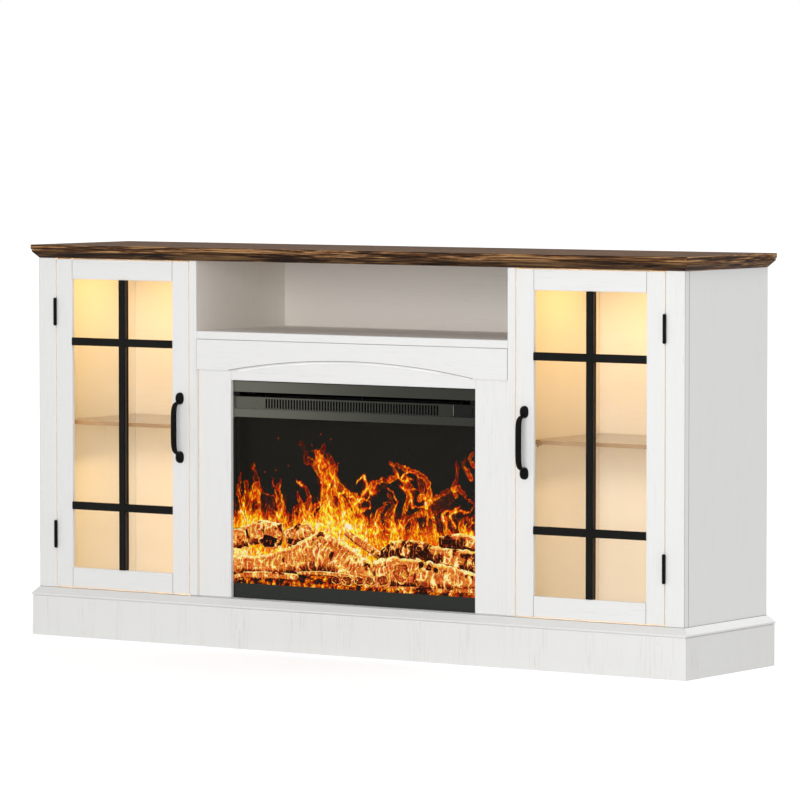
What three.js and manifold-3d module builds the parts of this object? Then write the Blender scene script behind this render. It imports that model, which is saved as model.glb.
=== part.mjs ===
// A fireplace TV stand: a long white cabinet with a moulded walnut top, two glazed doors
// with black glazing bars, an open niche over an arched surround, and an electric fire.
// Millimetres, +Z up, front towards -Y, origin on the floor under the middle of the whole.
import * as THREE from "three";
import { mergeVertices } from "three/addons/utils/BufferGeometryUtils.js";
import Module from "manifold-3d";

const wasm = await Module();
wasm.setup();

// Driving dimensions: the cabinet
const bodyWidth = 1567;
const bodyDepth = 314;
const bodyTop = 786.1;
const topThickness = 26.9;
const overhang = 13;
const sideThickness = 15;
const postWidth = 43;
const postDepth = 17;
const postShadowGap = 0.9;
const partitionThickness = 18;
const nicheWidth = 756.6;
const boardEase = 0.8;
const fit = 0.3;
const runningFit = 0.1;
const overrun = 1;

// Top board and its moulding
const lipHeight = 9.6;
const lipStep = 1.8;
const filletHeight = 4.3;
const bevelEase = 0.6;
const mouldingInset = 12;

// Base
const floorThickness = 17.5;
const floorTop = 101.5;
const skirtHeight = 83.3;
const skirtSetback = 1.5;
const noseHeight = 5;
const noseRound = 1;
const quirkWidth = 1.2;
const quirkDepth = 2;

// Niche, surround and shelves
const nicheFloorTop = 643;
const nicheFloorThickness = 16;
const surroundRecess = 8;
const surroundThickness = 18;
const fireWidth = 594.6;
const fireTop = 545;
const valanceBottom = 565;
const archRise = 25.4;
const valanceReveal = 0.8;
const archSteps = 40;
const shelfTop = 446;
const shelfThickness = 8;
const shelfSetback = 50;
const backThickness = 3;
const serviceWidth = 240;
const serviceHeight = 130;
const serviceRadius = 20;
const serviceCentreShare = 0.3;

// Light strips
const ledHeight = 8;
const ledDepth = 12;
const ledSetback = 24;
const ledEndGap = 16;
const ledLensDrop = 2;
const ledLensInset = 2;

// Doors
const doorGap = 2;
const doorFloorGap = 1;
const doorTopGap = 2;
const doorThickness = 17.5;
const stileWidth = 41;
const railHeight = 41.4;
const glassLip = 7;
const rebateWidth = 8;
const glassThickness = 4;
const barWidth = 16;
const barProud = 2;
const barEase = 1.5;
const barEndHeight = 129.1;

// Hinges
const knuckleRadius = 3.5;
const hingePinRadius = 1.5;
const pinHeadRadius = 2.4;
const pinHeadHeight = 1.2;
const hingeHeight = 55;
const hingeEndDistance = 109.6;
const leafThickness = 0.6;
const leafDepth = 14;
const knuckleSides = 20;

// Handles
const handleSpacing = 120.6;
const handleHeight = 443.9;
const footRadius = 8.8;
const footHeight = 24;
const footDepth = 11;
const bowReach = 28;
const bowWidth = 13;
const bowThickness = 9.5;
const bowEndShare = 0.66;
const bowSteps = 22;
const bowSides = 12;
const bowSpread = 102;
const bowCornerPower = 0.42;

// Electric fire: front
const fireRecess = 16;
const framePlate = 4;
const frameSide = 3.2;
const frameTopBand = 23.2;
const outletSlot = 9;
const grilleHeight = 25.5;
const lowerBar = 16.5;
const frameBottomBand = 29.7;
const rimThickness = 1.5;
const rimDepth = 12;
const controlWidth = 58;
const grilleThickness = 2;
const grilleFlange = 4;
const slotWidth = 4;
const slotPitch = 6.95;
const slotEndMargin = 1.8;
const slotLeftMargin = 76;
const slotRightMargin = 26;
const panelProud = 1;
const panelThickness = 4;
const buttonWidth = 9;
const buttonHeight = 13;
const buttonEndMargin = 8;
const buttonProud = 1.6;
const buttonBody = 10;
const buttonFlange = 1.5;
const buttonTravel = 1.5;

// Electric fire: inside
const fireGlass = 4;
const fireGlassLap = 9;
const housingWidth = 580;
const housingTop = 543;
const housingWall = 2;
const housingDepth = 150;
const screenThickness = 3;
const screenDistance = 28;
const logGap = 3;
const logBackPlate = 9;
const logSides = 14;
const logRings = 12;
const logEmbed = 2;
const barkRidges = 7;
const barkShare = 0.07;
const rotorRadius = 22;
const rotorShaft = 4;
const rotorDistance = 45;
const rotorHeight = 62;
const paddleCount = 18;
const paddleLength = 24;
const paddleThickness = 0.8;
const paddleTurn = 50;
const wheelRadius = 22;
const wheelInnerShare = 0.78;
const wheelDistance = 44;
const wheelShaft = 4;
const wheelDisc = 2;
const wheelInset = 50;
const bladeCount = 20;
const bladeThickness = 1.2;
const bladeLean = 32;
const bearingBoss = 7;
const bearingLength = 8;
const glandRadius = 9;
const glandBore = 4;
const glandLength = 9;
const roundSides = 16;

// Sizes that follow from them
const halfWidth = bodyWidth / 2;
const sideInner = halfWidth - sideThickness;
const postInner = halfWidth - postWidth;
const nicheHalf = nicheWidth / 2;
const partitionOuter = nicheHalf + partitionThickness;
const topHeight = bodyTop + topThickness;
const carcassTop = bodyTop - fit;
const floorBottom = floorTop - floorThickness;
const boardBack = bodyDepth - backThickness - fit;
const nicheFloorBottom = nicheFloorTop - nicheFloorThickness;
const fireHalf = fireWidth / 2;
const doorInner = partitionOuter + doorGap;
const doorOuter = postInner - doorGap;
const doorBottom = floorTop + doorFloorGap;
const doorTop = bodyTop - doorTopGap;
const glassInner = doorInner + stileWidth;
const glassOuter = doorOuter - stileWidth;
const glassBottom = doorBottom + railHeight;
const glassTop = doorTop - railHeight;
const handleX = doorInner + stileWidth / 2;
const hingeX = doorOuter + doorGap / 2;
const hingeOut = Math.sqrt((knuckleRadius + fit) ** 2 - (doorGap / 2) ** 2);
const fireFront = fireRecess + framePlate;
const frameBottom = floorTop + fit;
const frameTop = fireTop - fit;
const slotTop = frameTop - frameTopBand;
const grilleTop = slotTop - outletSlot;
const grilleBottom = grilleTop - grilleHeight;
const windowTop = grilleBottom - lowerBar;
const windowBottom = frameBottom + frameBottomBand;
const windowHalf = fireHalf - fit - frameSide;
const housingHalf = housingWidth / 2;
const housingFront = fireFront + fit + fireGlass + fit;
const housingBack = housingFront + housingDepth;
const chamberFloor = windowTop + housingWall;

const cabinet = new THREE.Group();
cabinet.position.y = (bowReach - bodyDepth - overhang) / 2;

// Finishes
function finish(color, roughness, metalness = 0, opacity = 1) {
  return new THREE.MeshStandardMaterial({
    color, roughness, metalness, opacity, transparent: opacity < 1,
  });
}
const whiteWood = finish(0xf1f0ee, 0.55);
const walnut = finish(0x7a5233, 0.5);
const blackMetal = finish(0x191b19, 0.42, 0.6);
const frameMetal = finish(0x4a4b42, 0.5, 0.4);
const steelSheet = finish(0x2a2b29, 0.5, 0.6);
const clearGlass = finish(0xdfe8e4, 0.05, 0, 0.2);
const smokedGlass = finish(0x2a2826, 0.06, 0, 0.35);
const blackPlastic = finish(0x151514, 0.45);
const screenPlastic = finish(0x3a2416, 0.4);
const emberResin = finish(0xb4571c, 0.85);
const rawBoard = finish(0xd9d4cb, 0.8);
const warmLens = finish(0xffe2a8, 0.4);
const brightMetal = finish(0xb9bbbb, 0.35, 0.8);

// Joins and cuts of closed meshes
function toSolid(geometry) {
  const bare = geometry.clone();
  bare.deleteAttribute("normal");
  bare.deleteAttribute("uv");
  const merged = mergeVertices(bare);
  return new wasm.Manifold(new wasm.Mesh({
    numProp: 3,
    vertProperties: new Float32Array(merged.attributes.position.array),
    triVerts: new Uint32Array(merged.index.array),
  }));
}

function toGeometry(solid) {
  const mesh = solid.getMesh();
  const geometry = new THREE.BufferGeometry();
  geometry.setAttribute("position", new THREE.BufferAttribute(mesh.vertProperties, 3));
  geometry.setIndex(new THREE.BufferAttribute(mesh.triVerts, 1));
  return geometry;
}

function fuse(...geometries) {
  return toGeometry(geometries.map(toSolid).reduce((whole, next) => whole.add(next)));
}

function cut(geometry, ...tools) {
  return toGeometry(tools.map(toSolid).reduce((rest, tool) => rest.subtract(tool), toSolid(geometry)));
}

// A plain block between two corners
function block([x0, x1], [y0, y1], [z0, z1]) {
  const geometry = new THREE.BoxGeometry(x1 - x0, y1 - y0, z1 - z0);
  geometry.translate((x0 + x1) / 2, (y0 + y1) / 2, (z0 + z1) / 2);
  return geometry;
}

// A board with every edge eased by a small chamfer
function board([x0, x1], [y0, y1], [z0, z1], ease = boardEase) {
  const outline = new THREE.Shape([
    [x0 + ease, y0], [x1 - ease, y0], [x1, y0 + ease], [x1, y1 - ease],
    [x1 - ease, y1], [x0 + ease, y1], [x0, y1 - ease], [x0, y0 + ease],
  ].map(([x, y]) => new THREE.Vector2(x, y)));
  const geometry = new THREE.ExtrudeGeometry(outline, {
    depth: z1 - z0 - 2 * ease,
    bevelThickness: ease,
    bevelSize: ease,
    bevelOffset: -ease,
    bevelSegments: 1,
  });
  geometry.translate(0, 0, z0 + ease);
  return geometry;
}

function outlineShape(points) {
  return new THREE.Shape(points.map(([u, v]) => new THREE.Vector2(u, v)));
}

function plainExtrusion(shape, depth, curveSegments) {
  return new THREE.ExtrudeGeometry(shape, { depth, bevelEnabled: false, curveSegments });
}

// An outline in X and Z carried from y0 to y1
function slabAlongY(shape, y0, y1, curveSegments = roundSides) {
  const geometry = plainExtrusion(shape, y1 - y0, curveSegments);
  geometry.rotateX(Math.PI / 2);
  geometry.translate(0, y1, 0);
  return geometry;
}

// An outline in Y and Z carried from x0 to x1
function slabAlongX(shape, x0, x1) {
  const geometry = plainExtrusion(shape, x1 - x0, roundSides);
  geometry.applyMatrix4(new THREE.Matrix4().makeBasis(
    new THREE.Vector3(0, 1, 0), new THREE.Vector3(0, 0, 1), new THREE.Vector3(1, 0, 0),
  ));
  geometry.translate(x0, 0, 0);
  return geometry;
}

function rodAlongX(radius, x0, x1, y, z, sides = roundSides) {
  const geometry = new THREE.CylinderGeometry(radius, radius, x1 - x0, sides);
  geometry.rotateZ(Math.PI / 2);
  geometry.translate((x0 + x1) / 2, y, z);
  return geometry;
}

function rodAlongZ(radius, z0, z1, x, y, sides = roundSides) {
  const geometry = new THREE.CylinderGeometry(radius, radius, z1 - z0, sides);
  geometry.rotateX(Math.PI / 2);
  geometry.translate(x, y, (z0 + z1) / 2);
  return geometry;
}

// The same stretch of X on the left (-1) or the right (+1) half
function onSide(side, near, far) {
  return side > 0 ? [near, far] : [-far, -near];
}

function place(name, geometry, material) {
  const mesh = new THREE.Mesh(geometry, material);
  mesh.name = name;
  cabinet.add(mesh);
  return mesh;
}

const sides = [["left", -1], ["right", 1]];
const mouldedFaces = ["front", "right", "back", "left"];

// A moulding along one face of the body, its ends mitred against its neighbours.
// The profile gives how far each corner stands out from the body, and its height.
function mitredMoulding(profile, quarter) {
  const alongHalf = quarter % 2 ? bodyDepth / 2 : halfWidth;
  const reach = quarter % 2 ? halfWidth : bodyDepth / 2;
  const mitreGap = fit / Math.SQRT2;
  const geometry = plainExtrusion(outlineShape(profile), 1);
  const at = geometry.attributes.position;
  for (let i = 0; i < at.count; i += 1) {
    const out = at.getX(i);
    const end = (alongHalf + out - mitreGap) * (at.getZ(i) > 0.5 ? -1 : 1);
    at.setXYZ(i, end, -(reach + out), at.getY(i));
  }
  geometry.rotateZ(quarter * Math.PI / 2);
  geometry.translate(0, bodyDepth / 2, 0);
  return geometry;
}

// Walnut top: a board whose lip laps over a mitred moulding, a fillet above a bevel
function topPanel() {
  const lip = board(
    [-halfWidth - overhang, halfWidth + overhang],
    [-overhang, bodyDepth + overhang],
    [topHeight - lipHeight, topHeight],
  );
  const inset = mouldingInset + fit;
  const core = block(
    [inset - halfWidth, halfWidth - inset],
    [inset, bodyDepth - inset],
    [bodyTop, topHeight - lipHeight / 2],
  );
  return fuse(lip, core);
}

function topProfile() {
  const out = overhang - lipStep;
  const top = topHeight - lipHeight - fit;
  const filletBottom = top - filletHeight;
  return [
    [-mouldingInset, top], [-mouldingInset, bodyTop],
    [bevelEase, bodyTop], [bevelEase, bodyTop + bevelEase],
    [out - bevelEase, filletBottom - bevelEase], [out, filletBottom + bevelEase], [out, top],
  ];
}

// White skirting: a plain board, a nose and a slope, parted by two narrow quirks. The upper
// quirk lies against the body, the lower one under the nose.
function skirtProfile() {
  const boardOut = overhang - skirtSetback;
  const noseTop = skirtHeight + noseHeight;
  const slopeEnd = fit + quirkWidth;
  return [
    [fit, 0], [boardOut, 0], [boardOut, skirtHeight - quirkWidth],
    [boardOut - quirkDepth, skirtHeight - quirkWidth], [boardOut - quirkDepth, skirtHeight],
    [overhang - noseRound, skirtHeight], [overhang, skirtHeight + noseRound],
    [overhang, noseTop - noseRound], [overhang - noseRound, noseTop],
    [slopeEnd, floorTop - quirkWidth], [slopeEnd, floorTop - quirkWidth - quirkDepth],
    [fit, floorTop - quirkWidth - quirkDepth],
  ];
}

place("top_panel", topPanel(), walnut);
for (const [quarter, face] of mouldedFaces.entries()) {
  place(`top_moulding_${face}`, mitredMoulding(topProfile(), quarter), walnut);
  place(`skirting_${face}`, mitredMoulding(skirtProfile(), quarter), whiteWood);
}

// Carcass boards that come in a left and a right
for (const [hand, side] of sides) {
  place(`side_panel_${hand}`, board(
    onSide(side, sideInner, halfWidth), [postDepth + postShadowGap, bodyDepth], [0, carcassTop],
  ), whiteWood);
  place(`front_post_${hand}`, board(
    onSide(side, postInner, halfWidth), [0, postDepth], [0, carcassTop],
  ), whiteWood);
  place(`partition_${hand}`, board(
    onSide(side, nicheHalf, partitionOuter), [0, boardBack], [floorTop + fit, carcassTop],
  ), whiteWood);
  place(`shelf_${hand}`, board(
    onSide(side, partitionOuter + fit, sideInner - fit),
    [shelfSetback, boardBack],
    [shelfTop - shelfThickness, shelfTop],
  ), clearGlass);
  place(`pilaster_${hand}`, board(
    onSide(side, fireHalf, nicheHalf - fit),
    [surroundRecess, surroundRecess + surroundThickness],
    [floorTop + fit, nicheFloorBottom - fit],
  ), whiteWood);
  place(`back_panel_${hand}`, block(
    onSide(side, (nicheHalf + partitionOuter + fit) / 2, sideInner - fit),
    [bodyDepth - backThickness, bodyDepth],
    [floorBottom, carcassTop],
  ), rawBoard);
}

// Cabinet floor, notched round the front posts
function floorPanel() {
  const wide = sideInner - fit;
  const narrow = postInner - fit;
  const notch = postDepth + fit;
  const shape = outlineShape([
    [-narrow, fit], [narrow, fit], [narrow, notch], [wide, notch],
    [wide, boardBack], [-wide, boardBack], [-wide, notch], [-narrow, notch],
  ]);
  const geometry = plainExtrusion(shape, floorThickness);
  geometry.translate(0, 0, floorBottom);
  return geometry;
}

// The middle back panel, open behind the fire for its lead and for air
function middleBack() {
  const half = (nicheHalf + partitionOuter - fit) / 2;
  const centre = floorTop + (fireTop - floorTop) * serviceCentreShare;
  const wide = serviceWidth / 2;
  const tall = serviceHeight / 2;
  const shape = outlineShape([
    [-half, floorBottom], [half, floorBottom], [half, carcassTop], [-half, carcassTop],
  ]);
  const hole = new THREE.Path();
  for (let start = 0; start < 2 * Math.PI; start += Math.PI / 2) {
    const diagonal = start + Math.PI / 4;
    hole.absarc(
      Math.sign(Math.cos(diagonal)) * (wide - serviceRadius),
      centre + Math.sign(Math.sin(diagonal)) * (tall - serviceRadius),
      serviceRadius, start, start + Math.PI / 2, false,
    );
  }
  shape.holes.push(hole);
  return slabAlongY(shape, bodyDepth - backThickness, bodyDepth, roundSides / 4);
}

// Arched valance over the fire, its curve one arc between the pilasters
function archedValance() {
  const half = nicheHalf - valanceReveal;
  const top = nicheFloorBottom - valanceReveal;
  const radius = (fireHalf ** 2 + archRise ** 2) / (2 * archRise);
  const spread = Math.asin(fireHalf / radius);
  const shape = new THREE.Shape();
  shape.moveTo(-half, valanceBottom);
  shape.lineTo(-half, top);
  shape.lineTo(half, top);
  shape.lineTo(half, valanceBottom);
  shape.lineTo(fireHalf, valanceBottom);
  shape.absarc(
    0, valanceBottom + archRise - radius, radius,
    Math.PI / 2 - spread, Math.PI / 2 + spread, false,
  );
  return slabAlongY(shape, 0, surroundRecess - fit, archSteps);
}

place("floor_panel", floorPanel(), whiteWood);
place("back_panel_middle", middleBack(), rawBoard);
place("niche_floor", board(
  [fit - nicheHalf, nicheHalf - fit], [0, boardBack], [nicheFloorBottom, nicheFloorTop],
), whiteWood);
place("arched_valance", archedValance(), whiteWood);
place("fire_header", board(
  [fit - fireHalf, fireHalf - fit],
  [surroundRecess, surroundRecess + surroundThickness],
  [fireTop, nicheFloorBottom - fit],
), whiteWood);

// A light strip under the top, just behind each door: a channel with a drooping lens
function ledStrip(side) {
  const ends = onSide(side, partitionOuter + ledEndGap, postInner - ledEndGap);
  const lens = [ends[0] + ledLensInset, ends[1] - ledLensInset];
  const top = carcassTop;
  const bottom = top - ledHeight;
  const channel = block(ends, [ledSetback, ledSetback + ledDepth], [bottom + ledLensDrop, top]);
  const radius = ledDepth / 2 - ledLensInset;
  const drop = rodAlongX(1, lens[0], lens[1], 0, 0);
  drop.scale(1, radius, ledLensDrop + ledLensInset);
  drop.translate(0, ledSetback + ledDepth / 2, bottom + ledLensDrop + ledLensInset);
  return fuse(channel, drop);
}

// Doors: stiles and rails rebated behind for the glass
function stile(side, near, far, openingEdge) {
  const whole = board(onSide(side, near, far), [0, doorThickness], [doorBottom, doorTop]);
  const inward = openingEdge === far ? -rebateWidth : rebateWidth;
  const limits = [openingEdge - Math.sign(inward) * overrun, openingEdge + inward];
  limits.sort((a, b) => a - b);
  const rebate = block(
    onSide(side, limits[0], limits[1]),
    [glassLip, doorThickness + overrun],
    [glassBottom - rebateWidth, glassTop + rebateWidth],
  );
  return cut(whole, rebate);
}

function rail(side, bottom, top, openingEdge) {
  const ends = onSide(side, glassInner + fit, glassOuter - fit);
  const whole = board(ends, [0, doorThickness], [bottom, top]);
  const inward = openingEdge === top ? -rebateWidth : rebateWidth;
  const limits = [openingEdge - Math.sign(inward) * overrun, openingEdge + inward];
  limits.sort((a, b) => a - b);
  const rebate = block(
    [ends[0] - overrun, ends[1] + overrun], [glassLip, doorThickness + overrun], limits,
  );
  return cut(whole, rebate);
}

// A glazing bar from one end to the other, its front edges chamfered
function glazingBar(centreX, centreZ, length, upright) {
  const half = barWidth / 2;
  const back = glassLip;
  const section = outlineShape([
    [-half, back], [-half, barEase - barProud], [barEase - half, -barProud],
    [half - barEase, -barProud], [half, barEase - barProud], [half, back],
  ]);
  const geometry = plainExtrusion(section, length);
  geometry.translate(0, 0, -length / 2);
  if (!upright) geometry.rotateY(Math.PI / 2);
  geometry.translate(centreX, 0, centreZ);
  return geometry;
}

// One upright and two cross bars, halved together
function glazingBars(side) {
  const centreX = side * (glassInner + glassOuter) / 2;
  const centreZ = (glassBottom + glassTop) / 2;
  const tall = glassTop - glassBottom - 2 * fit;
  const wide = glassOuter - glassInner - 2 * fit;
  return fuse(
    glazingBar(centreX, centreZ, tall, true),
    glazingBar(centreX, glassTop - barEndHeight, wide, false),
    glazingBar(centreX, glassBottom + barEndHeight, wide, false),
  );
}

// A bow handle: two rounded feet and a swelling bow that springs out of them.
// The bow's path is half a superellipse, flat along the door and tight at its ends.
function bowPoint(t) {
  const angle = Math.PI * t;
  const along = Math.sign(Math.cos(angle)) * Math.abs(Math.cos(angle)) ** bowCornerPower;
  const out = Math.sin(angle) ** bowCornerPower;
  const reach = bowReach - bowThickness / 2;
  return new THREE.Vector3(0, -out * reach, along * bowSpread / 2);
}

function bow() {
  const rings = [];
  for (let i = 0; i <= bowSteps; i += 1) {
    const t = i / bowSteps;
    const swell = bowEndShare + (1 - bowEndShare) * Math.sin(Math.PI * t);
    const centre = bowPoint(t);
    const before = bowPoint(Math.max(0, t - 1 / bowSteps));
    const after = bowPoint(Math.min(1, t + 1 / bowSteps));
    const ahead = after.sub(before).normalize();
    const outward = ahead.cross(new THREE.Vector3(1, 0, 0)).normalize();
    const ring = [];
    for (let j = 0; j < bowSides; j += 1) {
      const angle = 2 * Math.PI * j / bowSides;
      ring.push(new THREE.Vector3(Math.cos(angle) * swell * bowWidth / 2, 0, 0)
        .addScaledVector(outward, Math.sin(angle) * swell * bowThickness / 2).add(centre));
    }
    rings.push(ring);
  }
  return loft(rings);
}

// Closed skin over rings of equal counts, each end closed to its middle
function loft(rings) {
  const count = rings[0].length;
  const points = rings.flat();
  const faces = [];
  for (let i = 0; i + 1 < rings.length; i += 1) {
    for (let j = 0; j < count; j += 1) {
      const a = i * count + j;
      const b = i * count + (j + 1) % count;
      faces.push(a, b, b + count, a, b + count, a + count);
    }
  }
  const closeEnd = (ring, first, flip) => {
    const middle = ring.reduce((sum, p) => sum.add(p), new THREE.Vector3()).divideScalar(count);
    const hub = points.push(middle) - 1;
    for (let j = 0; j < count; j += 1) {
      const a = first + j;
      const b = first + (j + 1) % count;
      faces.push(hub, flip ? b : a, flip ? a : b);
    }
  };
  const lastRing = rings.length - 1;
  closeEnd(rings[0], 0, true);
  closeEnd(rings[lastRing], lastRing * count, false);
  const geometry = new THREE.BufferGeometry().setFromPoints(points);
  geometry.setIndex(faces);
  return geometry;
}

function handleFoot(z) {
  const profile = [];
  for (let i = 0; i <= roundSides / 2; i += 1) {
    const angle = Math.PI / 2 * i / (roundSides / 2);
    profile.push(new THREE.Vector2(Math.cos(angle), Math.sin(angle)));
  }
  profile[profile.length - 1].x = 0;
  profile.unshift(new THREE.Vector2(0, 0));
  const geometry = new THREE.LatheGeometry(profile, roundSides);
  geometry.rotateX(Math.PI);
  geometry.scale(footRadius, footDepth, footHeight / 2);
  geometry.translate(0, -fit, z);
  return geometry;
}

function handle(side) {
  const behindDoor = block(
    [-bowWidth, bowWidth], [-fit, bowReach], [-handleSpacing, handleSpacing],
  );
  const whole = fuse(handleFoot(handleSpacing / 2), bow(), handleFoot(-handleSpacing / 2));
  const geometry = cut(whole, behindDoor);
  geometry.translate(side * handleX, 0, handleHeight);
  return geometry;
}

// Butt hinges: the post leaf carries the outer knuckles and the pin, the door leaf the middle one
function hingeLeaf(side, centreZ, onDoor) {
  const axisY = -hingeOut;
  const third = hingeHeight / 3;
  const towardsDoor = onDoor ? -side : side;
  const seat = hingeX + (onDoor ? -1 : 1) * (doorGap / 2 - fit / 2);
  const inner = seat + (onDoor ? 1 : -1) * leafThickness;
  const thickness = onSide(side, Math.min(seat, inner), Math.max(seat, inner));
  const plate = block(
    thickness,
    [axisY + knuckleRadius + fit, leafDepth],
    [centreZ - hingeHeight / 2, centreZ + hingeHeight / 2],
  );
  const axisX = side * hingeX;
  const stretches = onDoor
    ? [[centreZ - third / 2 + fit, centreZ + third / 2 - fit]]
    : [[centreZ - hingeHeight / 2, centreZ - third / 2], [centreZ + third / 2, centreZ + hingeHeight / 2]];
  const parts = [plate];
  for (const [low, high] of stretches) {
    parts.push(rodAlongZ(knuckleRadius, low, high, axisX, axisY, knuckleSides));
    parts.push(block(thickness, [axisY + knuckleRadius / 2, leafDepth / 2], [low, high]));
  }
  const pinEnd = hingeHeight / 2 + pinHeadHeight;
  if (onDoor) {
    const bore = rodAlongZ(
      hingePinRadius + runningFit, centreZ - third, centreZ + third, axisX, axisY, knuckleSides,
    );
    return cut(fuse(...parts), bore);
  }
  parts.push(rodAlongZ(hingePinRadius, centreZ - third, centreZ + third, axisX, axisY, knuckleSides));
  parts.push(rodAlongZ(pinHeadRadius, centreZ - pinEnd, centreZ - third, axisX, axisY, knuckleSides));
  parts.push(rodAlongZ(pinHeadRadius, centreZ + third, centreZ + pinEnd, axisX, axisY, knuckleSides));
  return fuse(...parts);
}

for (const [hand, side] of sides) {
  place(`led_strip_${hand}`, ledStrip(side), warmLens);
  place(`${hand}_door_inner_stile`, stile(side, doorInner, glassInner, glassInner), whiteWood);
  place(`${hand}_door_outer_stile`, stile(side, glassOuter, doorOuter, glassOuter), whiteWood);
  place(`${hand}_door_bottom_rail`, rail(side, doorBottom, glassBottom, glassBottom), whiteWood);
  place(`${hand}_door_top_rail`, rail(side, glassTop, doorTop, glassTop), whiteWood);
  place(`${hand}_door_glass`, block(
    onSide(side, glassInner - rebateWidth + fit, glassOuter + rebateWidth - fit),
    [glassLip + fit, glassLip + fit + glassThickness],
    [glassBottom - rebateWidth + fit, glassTop + rebateWidth - fit],
  ), clearGlass);
  place(`${hand}_door_glazing_bars`, glazingBars(side), blackMetal);
  place(`${hand}_door_handle`, handle(side), blackMetal);
  const heights = [
    ["lower", doorBottom + hingeEndDistance],
    ["upper", doorTop - hingeEndDistance],
  ];
  for (const [level, z] of heights) {
    place(`${hand}_${level}_hinge_post_leaf`, hingeLeaf(side, z, false), blackMetal);
    place(`${hand}_${level}_hinge_door_leaf`, hingeLeaf(side, z, true), blackMetal);
  }
}

// Fire front: one pressed frame with a window for the grille and one for the flames
function fireFrame() {
  const half = fireHalf - fit;
  const shape = outlineShape([
    [-half, frameBottom], [half, frameBottom], [half, frameTop], [-half, frameTop],
  ]);
  for (const [low, high] of [[grilleBottom, slotTop], [windowBottom, windowTop]]) {
    shape.holes.push(new THREE.Path([
      [-windowHalf, low], [-windowHalf, high], [windowHalf, high], [windowHalf, low],
    ].map(([x, z]) => new THREE.Vector2(x, z))));
  }
  const rim = outlineShape([
    [-half, frameBottom], [-half, frameTop], [half, frameTop], [half, frameBottom],
    [half - rimThickness, frameBottom], [half - rimThickness, frameTop - rimThickness],
    [rimThickness - half, frameTop - rimThickness], [rimThickness - half, frameBottom],
  ]);
  return fuse(
    slabAlongY(shape, fireRecess, fireFront),
    slabAlongY(rim, fireFront - framePlate / 2, fireFront + rimDepth),
  );
}

// Outlet grille: a sheet with a row of upright slots, its top edge folded back
function ventGrille() {
  const left = fit - windowHalf;
  const right = windowHalf - controlWidth;
  const low = grilleBottom + fit;
  const front = fireFront - grilleThickness;
  const sheet = block([left, right], [front, fireFront], [low, grilleTop]);
  const flange = block(
    [left, right],
    [front + grilleThickness / 2, fireFront + grilleFlange],
    [grilleTop - grilleThickness, grilleTop],
  );
  const room = right - slotRightMargin - (left + slotLeftMargin);
  const count = Math.max(1, Math.floor((room - slotWidth) / slotPitch) + 1);
  const slots = Array.from({ length: count }, (_, i) => {
    const x = left + slotLeftMargin + i * slotPitch;
    return block(
      [x, x + slotWidth],
      [front - overrun, fireFront + grilleFlange + overrun],
      [low + slotEndMargin, grilleTop - grilleThickness - slotEndMargin],
    );
  });
  return cut(fuse(sheet, flange), ...slots);
}

const panelLeft = windowHalf - controlWidth + fit;
const panelFront = fireFront - grilleThickness - panelProud;
const buttonX = windowHalf - fit - buttonEndMargin - buttonWidth / 2;
const buttonZ = (grilleBottom + grilleTop) / 2;

function controlPanel() {
  const whole = board(
    [panelLeft, windowHalf - fit],
    [panelFront, panelFront + panelThickness],
    [grilleBottom + fit, grilleTop],
  );
  return cut(whole, block(
    [buttonX - buttonWidth / 2 - fit, buttonX + buttonWidth / 2 + fit],
    [panelFront - overrun, panelFront + panelThickness + overrun],
    [buttonZ - buttonHeight / 2 - fit, buttonZ + buttonHeight / 2 + fit],
  ));
}

// Power button: a cap through the panel, kept in by a flange behind it
function powerButton() {
  const cap = board(
    [buttonX - buttonWidth / 2, buttonX + buttonWidth / 2],
    [panelFront - buttonProud, panelFront + buttonBody],
    [buttonZ - buttonHeight / 2, buttonZ + buttonHeight / 2],
  );
  const wide = buttonWidth / 2 + buttonFlange;
  const tall = buttonHeight / 2 + buttonFlange;
  const flangeFront = panelFront + panelThickness + fit;
  return fuse(cap, block(
    [buttonX - wide, buttonX + wide],
    [flangeFront, flangeFront + buttonFlange],
    [buttonZ - tall, buttonZ + tall],
  ));
}

// Steel box of the fire: open in front, with a floor between the flames and the blower
const rotorY = housingFront + housingWall + screenDistance + screenThickness + rotorDistance;
const rotorZ = frameBottom + rotorHeight;
const wheelY = housingFront + wheelDistance;
const wheelZ = (chamberFloor + housingWall + housingTop) / 2;

function housing() {
  const inner = housingHalf - housingWall;
  const shell = block([-housingHalf, housingHalf], [housingFront, housingBack], [frameBottom, housingTop]);
  const back = housingBack - housingWall;
  const mouth = housingFront - overrun;
  const firebox = block([-inner, inner], [mouth, back], [frameBottom + housingWall, chamberFloor]);
  const chamber = block(
    [-inner, inner], [mouth, back], [chamberFloor + housingWall, housingTop - housingWall],
  );
  const bosses = [];
  for (const side of [-1, 1]) {
    for (const [y, z, shaft] of [[rotorY, rotorZ, rotorShaft], [wheelY, wheelZ, wheelShaft]]) {
      const ends = [inner - bearingLength, inner + housingWall / 2].map((x) => side * x);
      ends.sort((a, b) => a - b);
      const mouthEnds = [inner - bearingLength - overrun, inner - housingWall / 2].map((x) => side * x);
      mouthEnds.sort((a, b) => a - b);
      bosses.push(cut(
        rodAlongX(bearingBoss, ends[0], ends[1], y, z),
        rodAlongX(shaft + runningFit, mouthEnds[0], mouthEnds[1], y, z),
      ));
    }
  }
  const gland = new THREE.CylinderGeometry(glandRadius, glandRadius, glandLength + housingWall, roundSides);
  gland.translate(housingHalf / 2, housingBack + (glandLength - housingWall) / 2, frameBottom + rotorHeight);
  const glandHole = new THREE.CylinderGeometry(
    glandBore, glandBore, glandLength + 2 * housingWall, roundSides,
  );
  glandHole.translate(housingHalf / 2, housingBack + glandLength / 2, frameBottom + rotorHeight);
  return cut(fuse(cut(shell, firebox, chamber), ...bosses, gland), glandHole);
}

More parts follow.
